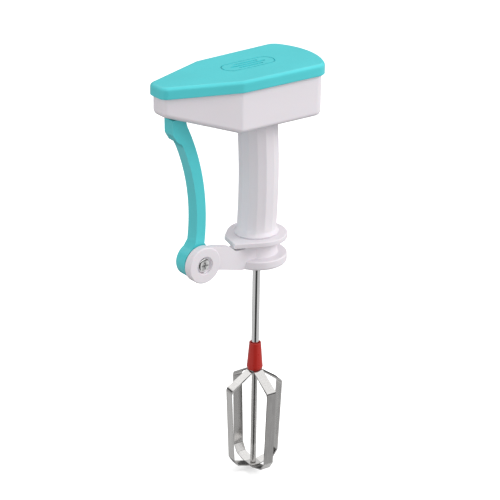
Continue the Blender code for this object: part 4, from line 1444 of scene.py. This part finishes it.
@dataclass
class Sky:
    """A soft sky, white to the eye, that metal sees as bright boxes with dark gaps between them."""

    view_azimuth: float
    glow: tuple[tuple[float, float], ...] = ((0.25, 0.22), (0.50, 1.05), (0.80, 0.74))
    backdrop: float = 1.1
    boxes: float = 1.30
    side_bands: tuple[tuple[float, float], ...] = ((0.0, 0.55), (0.15, 0.30), (0.40, 0.50), (0.60, 0.62),
                                                   (0.76, 0.07), (1.0, 0.03))
    height_bands: tuple[tuple[float, float], ...] = ((0.44, 0.08), (0.69, 0.05), (0.77, 1.0), (1.0, 0.9))
    overhead: tuple[tuple[float, float], ...] = ((0.50, 0.0), (0.58, 1.0))

    def greys(self, board: NodeBoard, value: bpy.types.NodeSocket,
              bands: Sequence[tuple[float, float]]) -> bpy.types.NodeSocket:
        """A ramp of greys, from (place, tone) pairs."""
        return board.ramp(value, *((place, (tone,) * 3) for place, tone in bands))

    def shader(self, board: NodeBoard, strength: float,
               colour: Optional[bpy.types.NodeSocket] = None) -> bpy.types.NodeSocket:
        """A background shader.

        Args:
            board: The sky's node board.
            strength: Its strength.
            colour: Its colour, or None for white.

        Returns:
            The shader's output.
        """
        node = board.add("ShaderNodeBackground")
        node.inputs["Color"].default_value = (1.0, 1.0, 1.0, 1.0)
        node.inputs["Strength"].default_value = strength
        if colour is not None:
            board.join(colour, node.inputs["Color"])
        return node.outputs[0]

    def mix(self, board: NodeBoard, factor: bpy.types.NodeSocket, one: bpy.types.NodeSocket,
            other: bpy.types.NodeSocket) -> bpy.types.NodeSocket:
        """One shader where the factor is 0, and the other where it is 1."""
        node = board.add("ShaderNodeMixShader")
        for source, target in zip((factor, one, other), node.inputs):
            board.join(source, target)
        return node.outputs[0]

    def build(self) -> None:
        """Builds the sky."""
        world = bpy.data.worlds.new("studio_sky")
        bpy.context.scene.world = world
        world.use_nodes = True
        board = NodeBoard(world.node_tree)
        where = board.add("ShaderNodeTexCoord")
        split = board.add("ShaderNodeSeparateXYZ")
        board.join(where.outputs["Generated"], split.inputs[0])
        azimuth = board.math("ARCTAN2", split.outputs["Y"], split.outputs["X"])
        turned = board.math("SUBTRACT", azimuth, self.view_azimuth - math.pi / 2 + math.radians(5))
        wave = board.math("MULTIPLY_ADD", board.math("COSINE", board.math("MULTIPLY", turned, 2.0)), 0.5, 0.5)
        sides = self.greys(board, wave, self.side_bands)
        height = board.math("MULTIPLY_ADD", split.outputs["Z"], 0.5, 0.5)
        levels = self.greys(board, height, self.height_bands)
        blend = board.add("ShaderNodeMix", data_type="RGBA")
        board.join(self.greys(board, height, self.overhead), blend.inputs["Factor"])
        board.join(sides, blend.inputs["A"])
        board.join(levels, blend.inputs["B"])
        glow = self.greys(board, height, self.glow)
        path = board.add("ShaderNodeLightPath")
        soft = self.shader(board, 1.0, glow)
        glossy = self.shader(board, self.boxes, blend.outputs["Result"])
        lit = self.mix(board, path.outputs["Is Glossy Ray"], soft, glossy)
        seen = self.mix(board, path.outputs["Is Camera Ray"], lit, self.shader(board, self.backdrop))
        board.join(seen, world.node_tree.nodes["World Output"].inputs["Surface"])


@dataclass
class Studio:
    """The pale floor, the sky, the lamps and the camera."""

    view: Viewpoint = field(default_factory=Viewpoint)
    floor_drop: float = 0.0015
    lamps: tuple[tuple[str, tuple[float, float, float], float, float], ...] = (
        ("key_lamp", (1.3, -0.9, 0.9), 0.8, 20.0), ("top_lamp", (-0.1, 0.2, 1.5), 1.0, 3.5),
        ("fill_lamp", (-1.3, -0.9, 0.2), 0.9, 3.2))

    def floor(self) -> None:
        """The pale floor under the beater."""
        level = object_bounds()[0][2] - self.floor_drop
        floor = finish_mesh("studio_floor", box_mesh((-6.0, -6.0, level - 0.01), (6.0, 6.0, level)))
        board = MaterialBoard("floor_paint")
        board.tint(board.noise(board.place((1.0, 1.0, 1.0)), 3.0), (0.93, 0.93, 0.93), 0.01)
        board.shader.inputs["Roughness"].default_value = 0.9
        board.shader.inputs["Emission Color"].default_value = (1.0, 1.0, 1.0, 1.0)
        board.shader.inputs["Emission Strength"].default_value = 0.35
        floor.data.materials.append(board.material)
        floor.visible_glossy = False
        floor.visible_diffuse = False
        floor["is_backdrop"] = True

    def lamp(self, name: str, place: tuple[float, float, float], size: float, watts: float) -> None:
        """A square soft lamp that faces the beater.

        Args:
            name: The lamp's name.
            place: Where it stands.
            size: Its side.
            watts: Its power.
        """
        data = bpy.data.lights.new(name, "AREA")
        data.size = size
        data.energy = watts
        item = bpy.data.objects.new(name, data)
        item.location = place
        item.rotation_euler = (Vector(self.view.target) - Vector(place)).to_track_quat("-Z", "Y").to_euler()
        item.visible_glossy = False
        bpy.context.scene.collection.objects.link(item)

    def build(self) -> None:
        """Sets up the whole studio."""
        self.floor()
        Sky(self.view.azimuth).build()
        for lamp in self.lamps:
            self.lamp(*lamp)
        self.view.build()
        bpy.context.scene.view_settings.view_transform = "Standard"


def main() -> None:
    """Builds every sub-assembly, then the studio, and reports each piece."""
    logging.basicConfig(level=logging.INFO, format="%(name)s: %(message)s")
    shop = Workshop(Palette().build())
    plan = HeadPlan()
    assemblies = (CoverShell(shop, plan), GearHousing(shop, plan), HandGrip(shop), PivotBracket(shop),
                  SqueezeLever(shop), Fasteners(shop), DriveShaft(shop), WhiskCollar(shop), Whisk(shop),
                  DriveTrain(shop), Studio())
    for assembly in assemblies:
        assembly.build()
        LOG.info("%s done", type(assembly).__name__)


if __name__ == "__main__":
    main()
